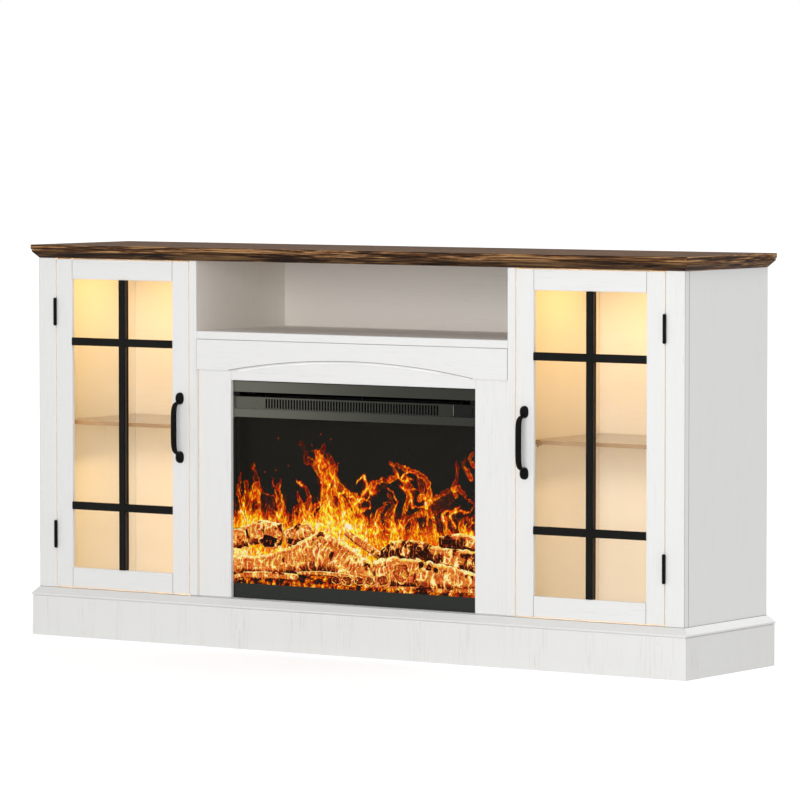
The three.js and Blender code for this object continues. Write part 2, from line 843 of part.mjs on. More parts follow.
// Flame rotor: a spindle with leaning paddles that throw moving light on the screen
function flameRotor() {
  const end = housingHalf - housingWall - 2 * fit - housingWall / 2;
  const parts = [rodAlongX(rotorShaft, -end, end, 0, 0)];
  const room = 2 * (housingHalf - housingWall - bearingLength) - paddleLength;
  for (let i = 0; i < paddleCount; i += 1) {
    const paddle = block(
      [-paddleLength / 2, paddleLength / 2], [-paddleThickness / 2, paddleThickness / 2],
      [0, rotorRadius],
    );
    paddle.rotateZ(THREE.MathUtils.degToRad(paddleTurn));
    paddle.rotateX(2 * Math.PI * i / 3);
    paddle.translate(room * ((i + 0.5) / paddleCount - 0.5), 0, 0);
    parts.push(paddle);
  }
  const geometry = fuse(...parts);
  geometry.translate(0, rotorY, rotorZ);
  return geometry;
}

// Cross-flow blower wheel: a cage of leaning blades between discs
function blowerWheel() {
  const end = housingHalf - housingWall - 2 * fit - housingWall / 2;
  const half = housingHalf - wheelInset;
  const parts = [rodAlongX(wheelShaft, -end, end, 0, 0)];
  for (const x of [-half, -wheelDisc / 2, half - wheelDisc]) {
    parts.push(rodAlongX(wheelRadius, x, x + wheelDisc, 0, 0, bladeCount));
  }
  const inner = wheelRadius * wheelInnerShare;
  const depth = wheelRadius - inner;
  for (let i = 0; i < bladeCount; i += 1) {
    const blade = block(
      [-half + wheelDisc / 2, half - wheelDisc / 2],
      [-bladeThickness / 2, bladeThickness / 2],
      [-depth / 2, depth / 2],
    );
    blade.rotateX(THREE.MathUtils.degToRad(bladeLean));
    blade.translate(0, 0, (wheelRadius + inner) / 2 - bladeThickness);
    blade.rotateX(2 * Math.PI * i / bladeCount);
    parts.push(blade);
  }
  const geometry = fuse(...parts);
  geometry.translate(0, wheelY, wheelZ);
  return geometry;
}

// Log set: ridged, tapering logs moulded in one with the bank of embers behind them.
// Each row holds the two ends of a log as shares of the flame window from its middle and its
// foot, then its radius at either end as a share of the window's height, and how far forward
// it lies.
const logShares = [
  [-0.495, 0.1, -0.17, 0.195, 0.053, 0.118, 0.85],
  [-0.2, 0.2, 0.06, 0.07, 0.118, 0.06, 0.75],
  [-0.49, 0.285, -0.33, 0.3, 0.07, 0.068, 0.3],
  [-0.33, 0.28, -0.21, 0.31, 0.052, 0.058, 0.4],
  [-0.07, 0.31, 0.09, 0.2, 0.024, 0.03, 0.5],
  [0.07, 0.2, 0.49, 0.22, 0.06, 0.068, 0.35],
  [0.06, 0.11, 0.495, 0.075, 0.085, 0.042, 0.9],
  [0.33, 0.3, 0.49, 0.31, 0.038, 0.044, 0.2],
];
// The crest of the ember bank: places across the window and their heights, as shares of it
const bankShares = [
  [-0.5, 0.2], [-0.46, 0.28], [-0.38, 0.33], [-0.3, 0.3], [-0.2, 0.31], [-0.12, 0.28],
  [0, 0.22], [0.1, 0.24], [0.2, 0.31], [0.3, 0.25], [0.38, 0.29], [0.5, 0.26],
];

const logBack = housingFront + housingWall + screenDistance - 2 * fit;
const logFront = housingFront + logGap;

function burntLog([u0, w0, u1, w1, rStart, rEnd, forward], index) {
  const windowWide = 2 * (housingHalf - housingWall - fit);
  const windowTall = windowTop - windowBottom;
  const from = new THREE.Vector3(u0 * windowWide, 0, windowBottom + w0 * windowTall);
  const to = new THREE.Vector3(u1 * windowWide, 0, windowBottom + w1 * windowTall);
  const length = from.distanceTo(to);
  const geometry = new THREE.CylinderGeometry(1, 1, 1, logSides, logRings);
  const at = geometry.attributes.position;
  for (let i = 0; i < at.count; i += 1) {
    const t = at.getY(i) + 0.5;
    const angle = Math.atan2(at.getZ(i), at.getX(i));
    const ridge = 1 + barkShare * Math.sin(barkRidges * angle + index + 2 * Math.PI * t)
      + barkShare * Math.sin(2 * Math.PI * (t * logRings / 4) + index);
    const radius = Math.hypot(at.getX(i), at.getZ(i))
      * THREE.MathUtils.lerp(rStart, rEnd, t) * windowTall * ridge;
    at.setXYZ(i, Math.cos(angle) * radius, t * length, Math.sin(angle) * radius);
  }
  const widest = Math.max(rStart, rEnd) * windowTall * (1 + 2 * barkShare);
  const room = (logBack - logFront) / 2;
  const flatten = Math.min(1, (room - logEmbed) / widest);
  geometry.scale(1, 1, flatten);
  geometry.rotateZ(-Math.PI / 2 + Math.atan2(to.z - from.z, to.x - from.x));
  geometry.rotateX(Math.PI / 2);
  const depth = Math.min(widest, room - logEmbed);
  const y = THREE.MathUtils.lerp(logBack - depth, logFront + depth, forward);
  geometry.translate(from.x, Math.max(y, logFront + depth), from.z);
  return geometry;
}

function emberBank() {
  const wide = 2 * (housingHalf - housingWall - fit);
  const tall = windowTop - windowBottom;
  const foot = frameBottom + housingWall + fit;
  const crest = bankShares.map(([u, w]) => [u * wide, windowBottom + w * tall]);
  const back = slabAlongY(outlineShape([
    [wide / 2, foot], ...crest.reverse(), [-wide / 2, foot],
  ]), logBack - logBackPlate, logBack);
  const bedTop = windowBottom + bankShares[0][1] * tall / 3;
  const bed = slabAlongX(outlineShape([
    [logFront, foot], [logBack - overrun, foot], [logBack - overrun, bedTop],
    [(logFront + logBack) / 2, bedTop], [logFront, windowBottom + logGap],
  ]), -wide / 2, wide / 2);
  return fuse(back, bed);
}

// The moulding is solid between the logs: only its outermost skin is kept
function logSet() {
  const wide = 2 * (housingHalf - housingWall - fit);
  const whole = fuse(emberBank(), ...logShares.map(burntLog));
  const outside = [-1, 1].map((side) => block(
    [-wide / 2, wide / 2], [0, bodyDepth], [0, bodyTop],
  ).translate(side * wide, 0, 0));
  const skins = toSolid(cut(whole, ...outside)).decompose();
  skins.sort((a, b) => b.volume() - a.volume());
  return toGeometry(skins[0]);
}

place("fire_frame", fireFrame(), frameMetal);
place("vent_grille", ventGrille(), frameMetal);
place("control_panel", controlPanel(), blackPlastic);
place("power_button", powerButton(), blackPlastic);
place("fire_glass", block(
  [-windowHalf, windowHalf],
  [fireFront + fit, fireFront + fit + fireGlass],
  [windowBottom - fireGlassLap, windowTop + fireGlassLap],
), smokedGlass);
place("fire_housing", housing(), steelSheet);
place("flame_screen", block(
  [housingWall + fit - housingHalf, housingHalf - housingWall - fit],
  [logBack + fit, logBack + fit + screenThickness],
  [frameBottom + housingWall + fit, chamberFloor - fit],
), screenPlastic);
place("log_set", logSet(), emberResin);
place("flame_rotor", flameRotor(), brightMetal);
place("blower_wheel", blowerWheel(), brightMetal);

export default cabinet;
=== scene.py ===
# %% [markdown]
# # A fireplace TV stand
#
# The object is a long white cabinet with a moulded walnut top. Two glazed doors stand either
# side of an open niche and an electric fire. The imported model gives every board, hinge and
# pane its true place, so this script only dresses it: it gives each board its finish, makes
# the rounded and the glowing pieces as surfaces, and sets the camera and the light.

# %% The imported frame
import math

import bpy
import numpy as np
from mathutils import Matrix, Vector


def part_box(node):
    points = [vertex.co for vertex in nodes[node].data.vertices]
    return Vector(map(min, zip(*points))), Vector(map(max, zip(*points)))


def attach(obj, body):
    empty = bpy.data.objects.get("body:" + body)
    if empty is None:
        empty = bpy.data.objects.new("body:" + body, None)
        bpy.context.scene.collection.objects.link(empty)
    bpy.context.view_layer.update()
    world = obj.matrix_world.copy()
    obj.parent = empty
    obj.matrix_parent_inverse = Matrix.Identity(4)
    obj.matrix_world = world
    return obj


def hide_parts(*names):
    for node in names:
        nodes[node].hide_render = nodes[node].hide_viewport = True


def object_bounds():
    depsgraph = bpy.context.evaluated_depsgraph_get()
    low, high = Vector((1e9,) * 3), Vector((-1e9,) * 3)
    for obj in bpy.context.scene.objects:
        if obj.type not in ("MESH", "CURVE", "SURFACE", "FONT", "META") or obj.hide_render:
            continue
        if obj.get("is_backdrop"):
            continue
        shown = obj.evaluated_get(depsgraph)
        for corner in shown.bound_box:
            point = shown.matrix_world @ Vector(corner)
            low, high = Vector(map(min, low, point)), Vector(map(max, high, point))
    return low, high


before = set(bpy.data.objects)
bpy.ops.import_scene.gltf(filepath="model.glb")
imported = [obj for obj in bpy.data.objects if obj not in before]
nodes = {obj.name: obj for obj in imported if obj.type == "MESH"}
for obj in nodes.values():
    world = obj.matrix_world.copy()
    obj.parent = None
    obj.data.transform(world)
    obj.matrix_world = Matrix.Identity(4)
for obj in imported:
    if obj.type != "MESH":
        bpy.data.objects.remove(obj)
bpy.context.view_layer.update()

# %% [markdown]
# ## Places
#
# A joiner measures this cabinet from its front face, its middle and the floor. `place` takes
# such a measurement in millimetres and gives the point in the row's frame in metres.

# %% Places
MM = 0.001
FRONT_Y = -149.5


def place(x, depth, z):
    """Stacks x, the depth behind the front face and the height, in mm, into points in m."""
    x, depth, z = np.broadcast_arrays(x, depth, z)
    return np.stack([x, FRONT_Y + depth, z], axis=-1) * MM


def box_mm(node):
    """The lowest and highest corners of a node as x, depth and z in mm."""
    low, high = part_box(node)
    shift = np.array([0, FRONT_Y, 0])
    return np.array(low) / MM - shift, np.array(high) / MM - shift


print("left door glass", *box_mm("left_door_glass"))

# %% [markdown]
# ## The camera
#
# The product picture is taken with a long lens from the right, a little above the floor. A
# long lens keeps the uprights parallel. The camera stands on a ray through its target, at
# the measured bearing and height, so no lens shift is needed.

# %% The camera
BEARING, RISE, CAMERA_AWAY, LENS = 34.239, 3.25, 10.6257, 236.55
bearing, rise = math.radians(BEARING), math.radians(RISE)
target = Vector((0.017218, 0.0075, 0.507327))
towards_camera = Vector((
    math.sin(bearing) * math.cos(rise), -math.cos(bearing) * math.cos(rise), math.sin(rise),
))
camera_data = bpy.data.cameras.new("camera")
camera_data.sensor_width = 36
camera_data.lens = LENS
camera_data.clip_end = 200
camera = bpy.data.objects.new("camera", camera_data)
camera.location = target + towards_camera * CAMERA_AWAY
camera.rotation_mode = "QUATERNION"
camera.rotation_quaternion = (-towards_camera).to_track_quat("-Z", "Y")
scene = bpy.context.scene
scene.collection.objects.link(camera)
scene.camera = camera
scene.view_settings.view_transform = "Standard"
print("camera at", tuple(round(c, 3) for c in camera.location))

# %% [markdown]
# ## Material helpers
#
# Every finish is a small tree of nodes. `Finish` starts one on a Principled shader, and its
# methods add a node, join it up and hand back its output, so that a recipe reads like a
# list: stretch the coordinates along the grain, make a noise, turn it into a colour.


# %% Material helpers
class Finish:
    """A material built round one Principled shader, with Object coordinates to hand."""

    def __init__(self, name, color, roughness, **sockets):
        self.material = bpy.data.materials.new(name)
        self.material.use_nodes = True
        self.tree = self.material.node_tree
        self.shader = self.tree.nodes["Principled BSDF"]
        self.output = self.tree.nodes["Material Output"]
        self.shader.inputs["Base Color"].default_value = (*color, 1)
        self.shader.inputs["Roughness"].default_value = roughness
        for socket, value in sockets.items():
            self.shader.inputs[socket.replace("_", " ")].default_value = value
        self.place = self.node("TexCoord").outputs["Object"]

    def node(self, kind, **inputs):
        """A new node with its inputs fed. A name's underscore stands for a space."""
        made = self.tree.nodes.new("ShaderNode" + kind)
        for name, value in inputs.items():
            self.feed(made.inputs[name.replace("_", " ")], value)
        return made

    def feed(self, socket, value):
        """Joins an output to a socket, or sets the socket's own value."""
        if hasattr(value, "is_output"):
            self.tree.links.new(value, socket)
        else:
            socket.default_value = value

    def stretch(self, scale):
        """Object coordinates times a scale: one number, or one for each axis."""
        scale = scale if isinstance(scale, tuple) else (scale,) * 3
        return self.node("Mapping", Vector=self.place, Scale=scale).outputs["Vector"]

    def noise(self, at, detail=3.0, rough=0.5, twist=0.0):
        """Noise at a scale, or at coordinates that are already worked out."""
        where = at if hasattr(at, "is_output") else self.stretch(at)
        made = self.node(
            "TexNoise", Vector=where, Scale=1.0, Detail=detail, Roughness=rough, Distortion=twist,
        )
        return made.outputs["Fac"]

    def borders(self, where):
        """The distance to the nearest border between scattered cells."""
        made = self.node("TexVoronoi", Vector=where, Scale=1.0)
        made.feature = "DISTANCE_TO_EDGE"
        return made.outputs["Distance"]

    def ramp(self, value, *stops):
        """Colours by value: each stop is a place from 0 to 1 and a colour."""
        made = self.node("ValToRGB", Fac=value)
        band = made.color_ramp
        band.elements.remove(band.elements[1])
        band.elements[0].position = stops[0][0]
        for at, _ in stops[1:]:
            band.elements.new(at)
        for element, (_, color) in zip(band.elements, stops):
            element.color = (*color, 1)
        return made.outputs["Color"]

    def curve(self, value, low, high, to_low=0.0, to_high=1.0):
        """A value carried smoothly from one range to another, and held at its ends."""
        made = self.node(
            "MapRange", Value=value, From_Min=low, From_Max=high, To_Min=to_low, To_Max=to_high,
        )
        made.interpolation_type = "SMOOTHSTEP"
        return made.outputs["Result"]

    def math(self, how, *values):
        """One sum of one, two or three values."""
        made = self.tree.nodes.new("ShaderNodeMath")
        made.operation = how
        for socket, value in zip(made.inputs, values):
            self.feed(socket, value)
        return made.outputs[0]

    def bend(self, scale):
        """A slow noise's colour, to shift a pattern by."""
        made = self.node("TexNoise", Vector=self.stretch(scale), Scale=1, Detail=2)
        return made.outputs["Color"]

    def shifted(self, scale, by, amount):
        """Stretched coordinates moved about by a colour, which bends a pattern."""
        made = self.node("VectorMath", Vector=self.stretch(scale))
        made.operation = "ADD"
        self.feed(made.inputs[1], self.mix(1.0, (amount,) * 3, by, "MULTIPLY"))
        return made.outputs[0]

    def mix(self, share, a, b, how="MIX"):
        """Two colours mixed by a share."""
        made = self.tree.nodes.new("ShaderNodeMix")
        made.data_type = "RGBA"
        made.blend_type = how
        self.feed(made.inputs["Factor"], share)
        for socket, value in ((made.inputs[6], a), (made.inputs[7], b)):
            self.feed(socket, value if hasattr(value, "is_output") else (*value, 1))
        return made.outputs[2]

    def hotness(self):
        """The heat that each point of the mesh carries."""
        made = self.node("Attribute")
        made.attribute_name = "hotness"
        return made.outputs["Fac"]

    def color(self, value):
        """Sets the base colour."""
        self.feed(self.shader.inputs["Base Color"], value)
        return self

    def rough(self, value):
        """Sets the roughness."""
        self.feed(self.shader.inputs["Roughness"], value)
        return self

    def glow(self, color, strength=1.0):
        """Light given off, by colour and strength."""
        self.feed(self.shader.inputs["Emission Color"], color)
        self.feed(self.shader.inputs["Emission Strength"], strength)
        return self

    def relief(self, height, depth, strength):
        """A bump whose full height is depth, in metres."""
        made = self.node("Bump", Height=height, Distance=depth, Strength=strength)
        self.feed(self.shader.inputs["Normal"], made.outputs["Normal"])
        return self


def srgb(*levels):
    """A colour written as 0 to 255 screen levels, as the linear values that shaders take."""
    shares = np.array(levels) / 255
    linear = np.where(shares <= 0.04045, shares / 12.92, ((shares + 0.055) / 1.055) ** 2.4)
    return tuple(float(v) for v in linear)


AXES = {"x": 0, "y": 1, "z": 2}


def along(axis, lengthwise, across):
    """Scales that are small along one axis and large across it."""
    scale = [across] * 3
    scale[AXES[axis]] = lengthwise
    return tuple(scale)


print("scales along x", along("x", 2, 12))


# %% [markdown]
# ## White board
#
# The boards are fibreboard in a white film that is pressed with wood grain. From a step away
# it reads as white with faint broken streaks along the board. It could be a bump alone, but
# real streaks are also a touch greyer where the film is stretched thin, so the same stretched
# noise drives both the colour and a shallow relief, and a slow noise gathers the streaks in
# groups.


# %% White board
WHITE_PALE, WHITE_SOFT, WHITE_DARK = (240, 240, 239), (228, 227, 224), (205, 201, 194)


def white_board(grain, tint=(1, 1, 1), marks=0.5):
    """Streaks and short dashes along the grain, as strong as marks says."""
    pale, soft, dark = (tuple(c * t for c, t in zip(srgb(*level), tint))
                        for level in (WHITE_PALE, WHITE_SOFT, WHITE_DARK))
    finish = Finish(f"white_board_{grain}", pale, 0.5, Specular_IOR_Level=0.35)
    fine = finish.noise(along(grain, 14, 420), detail=4, rough=0.6)
    groups = finish.noise(along(grain, 3, 20), detail=2)
    dashes = finish.noise(along(grain, 22, 300), detail=2, twist=0.4)
    streak = finish.math(
        "MULTIPLY", finish.curve(fine, 0.5, 0.7), finish.curve(groups, 0.36, 0.66))
    dash = finish.math(
        "MULTIPLY", finish.curve(dashes, 0.66, 0.76), finish.curve(groups, 0.45, 0.62))
    faint = finish.mix(finish.math("MULTIPLY", streak, marks), pale, soft)
    finish.color(finish.mix(finish.math("MULTIPLY", dash, 0.6 * marks), faint, dark))
    finish.rough(finish.curve(fine, 0.3, 0.7, 0.46, 0.58))
    return finish.relief(finish.math("SUBTRACT", fine, dash), 0.0002, 0.3).material


white_upright, white_level = white_board("z"), white_board("x")
# The backs and the partitions' sides are lighter, warmer copies of the white: painted warm light in
# the niche and the cabinets.
back_white_painted_light = white_board("x", (1.05, 1.0, 0.94))
inner_white_painted_light = white_board("z", (1.06, 1.0, 0.93))
white_skirt = white_board("z", (0.985, 0.98, 0.97), 1.0)
# The skirting's slopes on the front and back are a darker copy of the white: painted shade.
nose_white_painted_shade = white_board("x", (0.905, 0.90, 0.89), 0.3)
# The niche floor's top is a lighter, warmer copy of the white: painted light on the ledge.
ledge_white_painted_light = white_board("x", (1.09, 1.05, 1.0))
# The skirting's slopes on the ends are a lighter copy of the white: painted light.
end_nose_white_painted_light = white_board("y", (1.13, 1.13, 1.13), 0.3)
print("white boards", white_upright.name, white_level.name, back_white_painted_light.name)

# %% [markdown]
# ## Walnut
#
# The top and its moulding are wrapped in a walnut print. Walnut shows dark and light bands
# that run with the board, wander a little, and carry short dark pores. The bands come from a
# noise stretched far along the board and bent by a slower one.


# %% Walnut
WALNUT_COLORS = (
    (0.42, srgb(22, 13, 8)), (0.50, srgb(46, 29, 18)), (0.55, srgb(78, 50, 30)),
    (0.595, srgb(132, 92, 57)), (0.65, srgb(190, 146, 98)),
)


def walnut(grain, tone, shine=0.12, matt=0.0, calm=0.0, reach=1.0):
    """Bands and fine lines along the grain. Tone scales the colour, calm takes contrast out
    and reach makes the streaks longer."""
    finish = Finish(f"walnut_{grain}", srgb(96, 66, 42), 0.55, Specular_IOR_Level=shine)
    slow = finish.bend(along(grain, 2, 12))
    bands = finish.noise(
        finish.shifted(along(grain, 5 / reach, 135), slow, 3.0), detail=5, rough=0.65)
    lines = finish.noise(
        finish.shifted(along(grain, 14 / reach, 620), slow, 6.0), detail=3, rough=0.6)
    both_scales = finish.math("MULTIPLY_ADD", lines, 0.6, finish.math("MULTIPLY", bands, 0.52))
    tint = finish.mix(calm, finish.ramp(both_scales, *WALNUT_COLORS), srgb(92, 64, 42))
    pores = finish.curve(finish.noise(along(grain, 20, 700), detail=2), 0.6, 0.7)
    pore_share = finish.math("MULTIPLY", pores, 0.5 - calm / 2)
    print_color = finish.mix(pore_share, tint, srgb(30, 19, 12))
    finish.color(finish.mix(1.0, print_color, (tone,) * 3, "MULTIPLY"))
    finish.rough(finish.curve(bands, 0.3, 0.7, 0.45 + matt, 0.58 + matt))
    return finish.relief(finish.math("SUBTRACT", both_scales, pores), 0.0002, 0.5).material


# The ends are a lighter copy of the walnut, which is painted light, and the shaded copies for the
# faces that look down are painted shade.
walnut_long, short_walnut_painted_light = walnut("x", 1.0), walnut("y", 1.16)
shaded_long, shaded_short = walnut("x", 0.4), walnut("y", 0.56)
walnut_top = walnut("x", 0.86, 0.03, 0.06, 0.45, 2.4)
print("walnut", walnut_long.name, walnut_top.name)

# %% [markdown]
# ## Metals and plastics
#
# The hinges, handles and glazing bars are powder coated: black, with a fine orange-peel
# skin that breaks up the highlight. The fire's front is the same sort of coating in a
# bronze-grey, with a painted sheen that is lighter at the left and painted shade low down.


# %% Metals and plastics
def coated(name, color, roughness, depth=0.00008, metallic=0.0, shine=0.3):
    """A smooth coat with slow patches of tone and a fine skin of the depth given, in metres."""
    finish = Finish(name, color, roughness, Metallic=metallic, Specular_IOR_Level=shine)
    skin = finish.noise(900, detail=2)
    patches = finish.noise(14)
    lighter = tuple(c * 1.5 + 0.004 for c in color)
    finish.color(finish.mix(finish.curve(patches, 0.35, 0.7, 0, 0.35), color, lighter))
    finish.rough(finish.curve(patches, 0.3, 0.7, roughness - 0.05, roughness + 0.07))
    return finish.relief(skin, depth, 0.6).material


black_metal = coated("black_powder_coat", srgb(9, 9, 8), 0.4, shine=0.1)
bar_face = coated("bar_front_coat", srgb(20, 21, 19), 0.42, shine=0.1)
# The glazing bars' sides are brown: painted warm light from the lit cabinet.
bar_side_lit = coated("bar_side_painted_light", srgb(66, 56, 50), 0.45, shine=0.1)
white_plastic = coated("white_plastic", srgb(226, 225, 221), 0.4, depth=0.00003)
nickel = coated("nickel_plate", srgb(190, 186, 178), 0.28, depth=0.00001, metallic=1.0)
panel_plastic = coated("panel_plastic", srgb(26, 27, 25), 0.4, shine=0.1)


FIRE_SHEEN = (
    (0, srgb(112, 111, 101)), (0.3, srgb(92, 92, 84)), (0.62, srgb(74, 74, 67)),
    (1, srgb(60, 61, 55)),
)


def fire_front(name, tone):
    """A painted sheen, lighter at the left as if the room's light came from there, and painted
    shade low down.
    """
    finish = Finish(name, srgb(70, 70, 63), 0.3, Metallic=0.75, Specular_IOR_Level=0.3)
    axes = finish.node("SeparateXYZ", Vector=finish.place)
    sheen = finish.ramp(finish.curve(axes.outputs["X"], -0.3, 0.3), *FIRE_SHEEN)
    low = finish.curve(axes.outputs["Z"], 0.13, 0.16)
    shade = finish.mix(low, srgb(53, 55, 51), sheen)
    finish.color(finish.mix(1.0, shade, (tone,) * 3, "MULTIPLY"))
    finish.rough(finish.curve(finish.noise(14), 0.3, 0.7, 0.26, 0.38))
    return finish.relief(finish.noise(900, detail=2), 0.00006, 0.5).material


frame_metal = fire_front("bronze_grey_coat_painted_sheen", 1.08)
grille_metal = fire_front("grille_coat_painted_sheen", 0.84)
# The slots' right-facing sides are nearly black: painted shade in the slots.
slot_side_painted_shade = coated("slot_shade", srgb(6, 6, 5), 0.6, shine=0.05)
black_plastic = coated("black_plastic", srgb(16, 16, 16), 0.35)
steel_sheet = coated(
    "polished_sheet_steel", srgb(225, 220, 214), 0.06, depth=0.000003, metallic=1.0)


def drawn_metal():
    """Aluminium with the fine lines of its rolling along x."""
    finish = Finish("mill_aluminium", (0.62, 0.63, 0.64), 0.32, Metallic=1.0)
    lines = finish.noise(along("x", 6, 900))
    finish.color(finish.mix(lines, (0.5, 0.51, 0.52), (0.72, 0.73, 0.74)))
    return finish.rough(finish.curve(lines, 0.3, 0.7, 0.25, 0.42)).material


mill_aluminium = drawn_metal()
print("coats", black_metal.name, frame_metal.name, mill_aluminium.name)

# %% [markdown]
# ## Glass
#
# A pane could be a solid of refracting glass, but then the lamps outside can't light what
# stands behind it. Sheet glass is so thin that it hardly bends what is seen through it, so a
# clear shader is mixed with a mirror by the Fresnel law. The fire's pane is smoked and
# coated against reflections, so it passes less and mirrors less.


# %% Glass
def pane(name, tint, index, mirror=1.0):
    """A clear tint mixed with a mirror by the Fresnel law for an index."""
    finish = Finish(name, (mirror,) * 3, 0.03, Metallic=1.0)
    finish.rough(finish.curve(finish.noise(30), 0.4, 0.75, 0.02, 0.06))
    clear = finish.node("BsdfTransparent", Color=(*tint, 1))
    fresnel = finish.node("Fresnel", IOR=index)
    blend = finish.node("MixShader", Fac=fresnel.outputs[0])
    finish.feed(blend.inputs[1], clear.outputs[0])
    finish.feed(blend.inputs[2], finish.shader.outputs[0])
    finish.feed(finish.output.inputs["Surface"], blend.outputs[0])
    return finish.material


door_glass = pane("clear_pane", (0.985, 0.992, 0.99), 1.3)
fire_glass = pane("smoked_pane", (0.96, 0.96, 0.96), 1.15, 0.12)
shelf_glass = pane("shelf_pane", (0.95, 0.93, 0.89), 1.45)
# The shelves' ground edges are brown: painted warm light from the strips.
shelf_edge = coated("ground_edge_painted_warm_light", srgb(170, 142, 112), 0.4, depth=0.00002)
print("panes", door_glass.name, fire_glass.name, shelf_glass.name)

# %% [markdown]
# ## Finishes on the boards
#
# A carried-over node keeps its mesh and only gets its material. The grain follows each
# board's length, as the film is laid, and the skirting's runs up and down.


# %% Finishes on the boards
BOTH = ("left", "right")
HANDS = (("left", -1), ("right", 1))


def spelled(names):
    """Splits names at the spaces. A star in a name stands for left and for right."""
    return [name.replace("*", hand) for name in names.split()
            for hand in (BOTH if "*" in name else BOTH[:1])]


def dress(names, material, chosen=None):
    """Gives nodes one material, or one more, for the faces whose normal passes a test."""
    for name in spelled(names):
        mesh = nodes[name].data
        if chosen is None:
            mesh.materials.clear()
            mesh.materials.append(material)
            continue
        mesh.materials.append(material)
        index = len(mesh.materials) - 1
        for face in mesh.polygons:
            if chosen(face.normal):
                face.material_index = index


dress("top_panel", walnut_long)
dress("top_panel", short_walnut_painted_light, lambda normal: abs(normal.x) > 0.7)
dress("top_panel", walnut_top, lambda normal: normal.z > 0.9)
for faces, board, shaded, nose in (("front back", walnut_long, shaded_long, nose_white_painted_shade),
                                   ("left right", short_walnut_painted_light, shaded_short, end_nose_white_painted_light)):
    for face in faces.split():
        dress(f"top_moulding_{face}", board)
        dress(f"top_moulding_{face}", shaded, lambda normal: normal.z < -0.3)
        dress(f"skirting_{face}", white_skirt)
        dress(f"skirting_{face}", nose, lambda normal: 0.3 < normal.z < 0.95)
dress("side_panel_* front_post_* pilaster_* *_door_inner_stile *_door_outer_stile", white_upright)
dress("partition_*", inner_white_painted_light)
dress("partition_*", white_upright, lambda normal: normal.y < -0.7)
dress("shelf_*", shelf_glass)
dress("shelf_*", shelf_edge, lambda normal: abs(normal.z) < 0.9)
dress("floor_panel niche_floor arched_valance fire_header *_door_top_rail *_door_bottom_rail",
      white_level)
dress("niche_floor", ledge_white_painted_light, lambda normal: normal.z > 0.9)
dress("back_panel_* back_panel_middle", back_white_painted_light)
dress("*_door_glass", door_glass)
dress("*_door_glazing_bars", bar_face)
dress("*_door_glazing_bars", black_metal, lambda normal: abs(normal.y) < 0.9)
dress("*_door_glazing_bars", bar_side_lit, lambda normal: abs(normal.x) > 0.9)
for level in ("lower", "upper"):
    dress(f"*_{level}_hinge_post_leaf *_{level}_hinge_door_leaf", black_metal)
dress("fire_frame", frame_metal)
dress("vent_grille", grille_metal)
dress("vent_grille", slot_side_painted_shade, lambda normal: normal.x > 0.9)
dress("control_panel power_button", panel_plastic)
dress("fire_glass", fire_glass)
dress("fire_housing", steel_sheet)
dress("flame_rotor", mill_aluminium)
dress("blower_wheel", black_plastic)
print("the top's materials", [material.name for material in nodes["top_panel"].data.materials])

# %% [markdown]
# ## Surfaces from arrays
#
# The pieces that follow are functions of two parameters worked out on a grid. `grid_faces`
# joins neighbours into quads and can close each row into a ring, and `new_piece` puts points
# and faces into a mesh that rides on a body.


# %% Surfaces from arrays
def grid_faces(rows, columns, closed=False):
    """Quads between neighbouring grid points; closed joins each row's end to its start."""
    i = np.arange(rows - 1)[:, None]
    j = np.arange(columns if closed else columns - 1)[None, :]
    after = (j + 1) % columns
    corners = (i * columns + j, (i + 1) * columns + j,
               (i + 1) * columns + after, i * columns + after)
    return np.stack(np.broadcast_arrays(*corners), axis=-1).reshape(-1, 4)


def fan(hub, ring_start, columns):
    """Triangles from a hub to a closed ring of points."""
    j = np.arange(columns)
    return np.stack(
        [np.full(columns, hub), ring_start + j, ring_start + (j + 1) % columns], axis=-1)


def capped(rings, hubs, turn_over=True):
    """Closed rings of points and a hub for the first and the last, as points and faces."""
    rows, columns = rings.shape[:2]
    count = rows * columns
    ends = np.concatenate([
        fan(count, 0, columns), fan(count + 1, count - columns, columns)[:, [0, 2, 1]]])
    faces = [grid_faces(rows, columns, True), ends]
    if turn_over:
        faces = [face[:, ::-1] for face in faces]
    return np.concatenate([rings.reshape(-1, 3), hubs]), faces


def new_piece(name, points, face_sets, material, body, heat=None):
    """A smooth mesh object from arrays of points and faces, riding on a body."""
    mesh = bpy.data.meshes.new(name)
    faces = [face for faces in face_sets for face in np.asarray(faces).tolist()]
    mesh.from_pydata(np.asarray(points).reshape(-1, 3).tolist(), [], faces)
    mesh.validate()
    mesh.polygons.foreach_set("use_smooth", np.full(len(mesh.polygons), True))
    if heat is not None:
        layer = mesh.attributes.new("hotness", "FLOAT", "POINT")
        layer.data.foreach_set("value", np.asarray(heat, dtype=np.float32).ravel())
    mesh.materials.append(material)
    piece = bpy.data.objects.new(name, mesh)
    scene.collection.objects.link(piece)
    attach(piece, body)
    return piece


def turn_angles(columns):
    """Evenly spaced angles once round, as one row."""
    return np.linspace(0, 2 * np.pi, columns, endpoint=False)[None, :]


def powered(values, power):
    """Values raised to a power, with their signs kept."""
    return np.sign(values) * np.abs(values) ** power


def tube(centres, across, upwards, columns):
    """A closed tube: at each centre a ring, across times cosine plus upwards times sine."""
    angle = turn_angles(columns)[..., None]
    rings = centres[:, None] + across[:, None] * np.cos(angle) + upwards[:, None] * np.sin(angle)
    return capped(rings, centres[[0, -1]])


def merged(parts):
    """Several (points, face sets) as one."""
    points, faces, start = [], [], 0
    for part_points, part_faces in parts:
        flat = np.asarray(part_points).reshape(-1, 3)
        points.append(flat)
        faces += [np.asarray(f) + start for f in part_faces]
        start += len(flat)
    return np.concatenate(points), faces


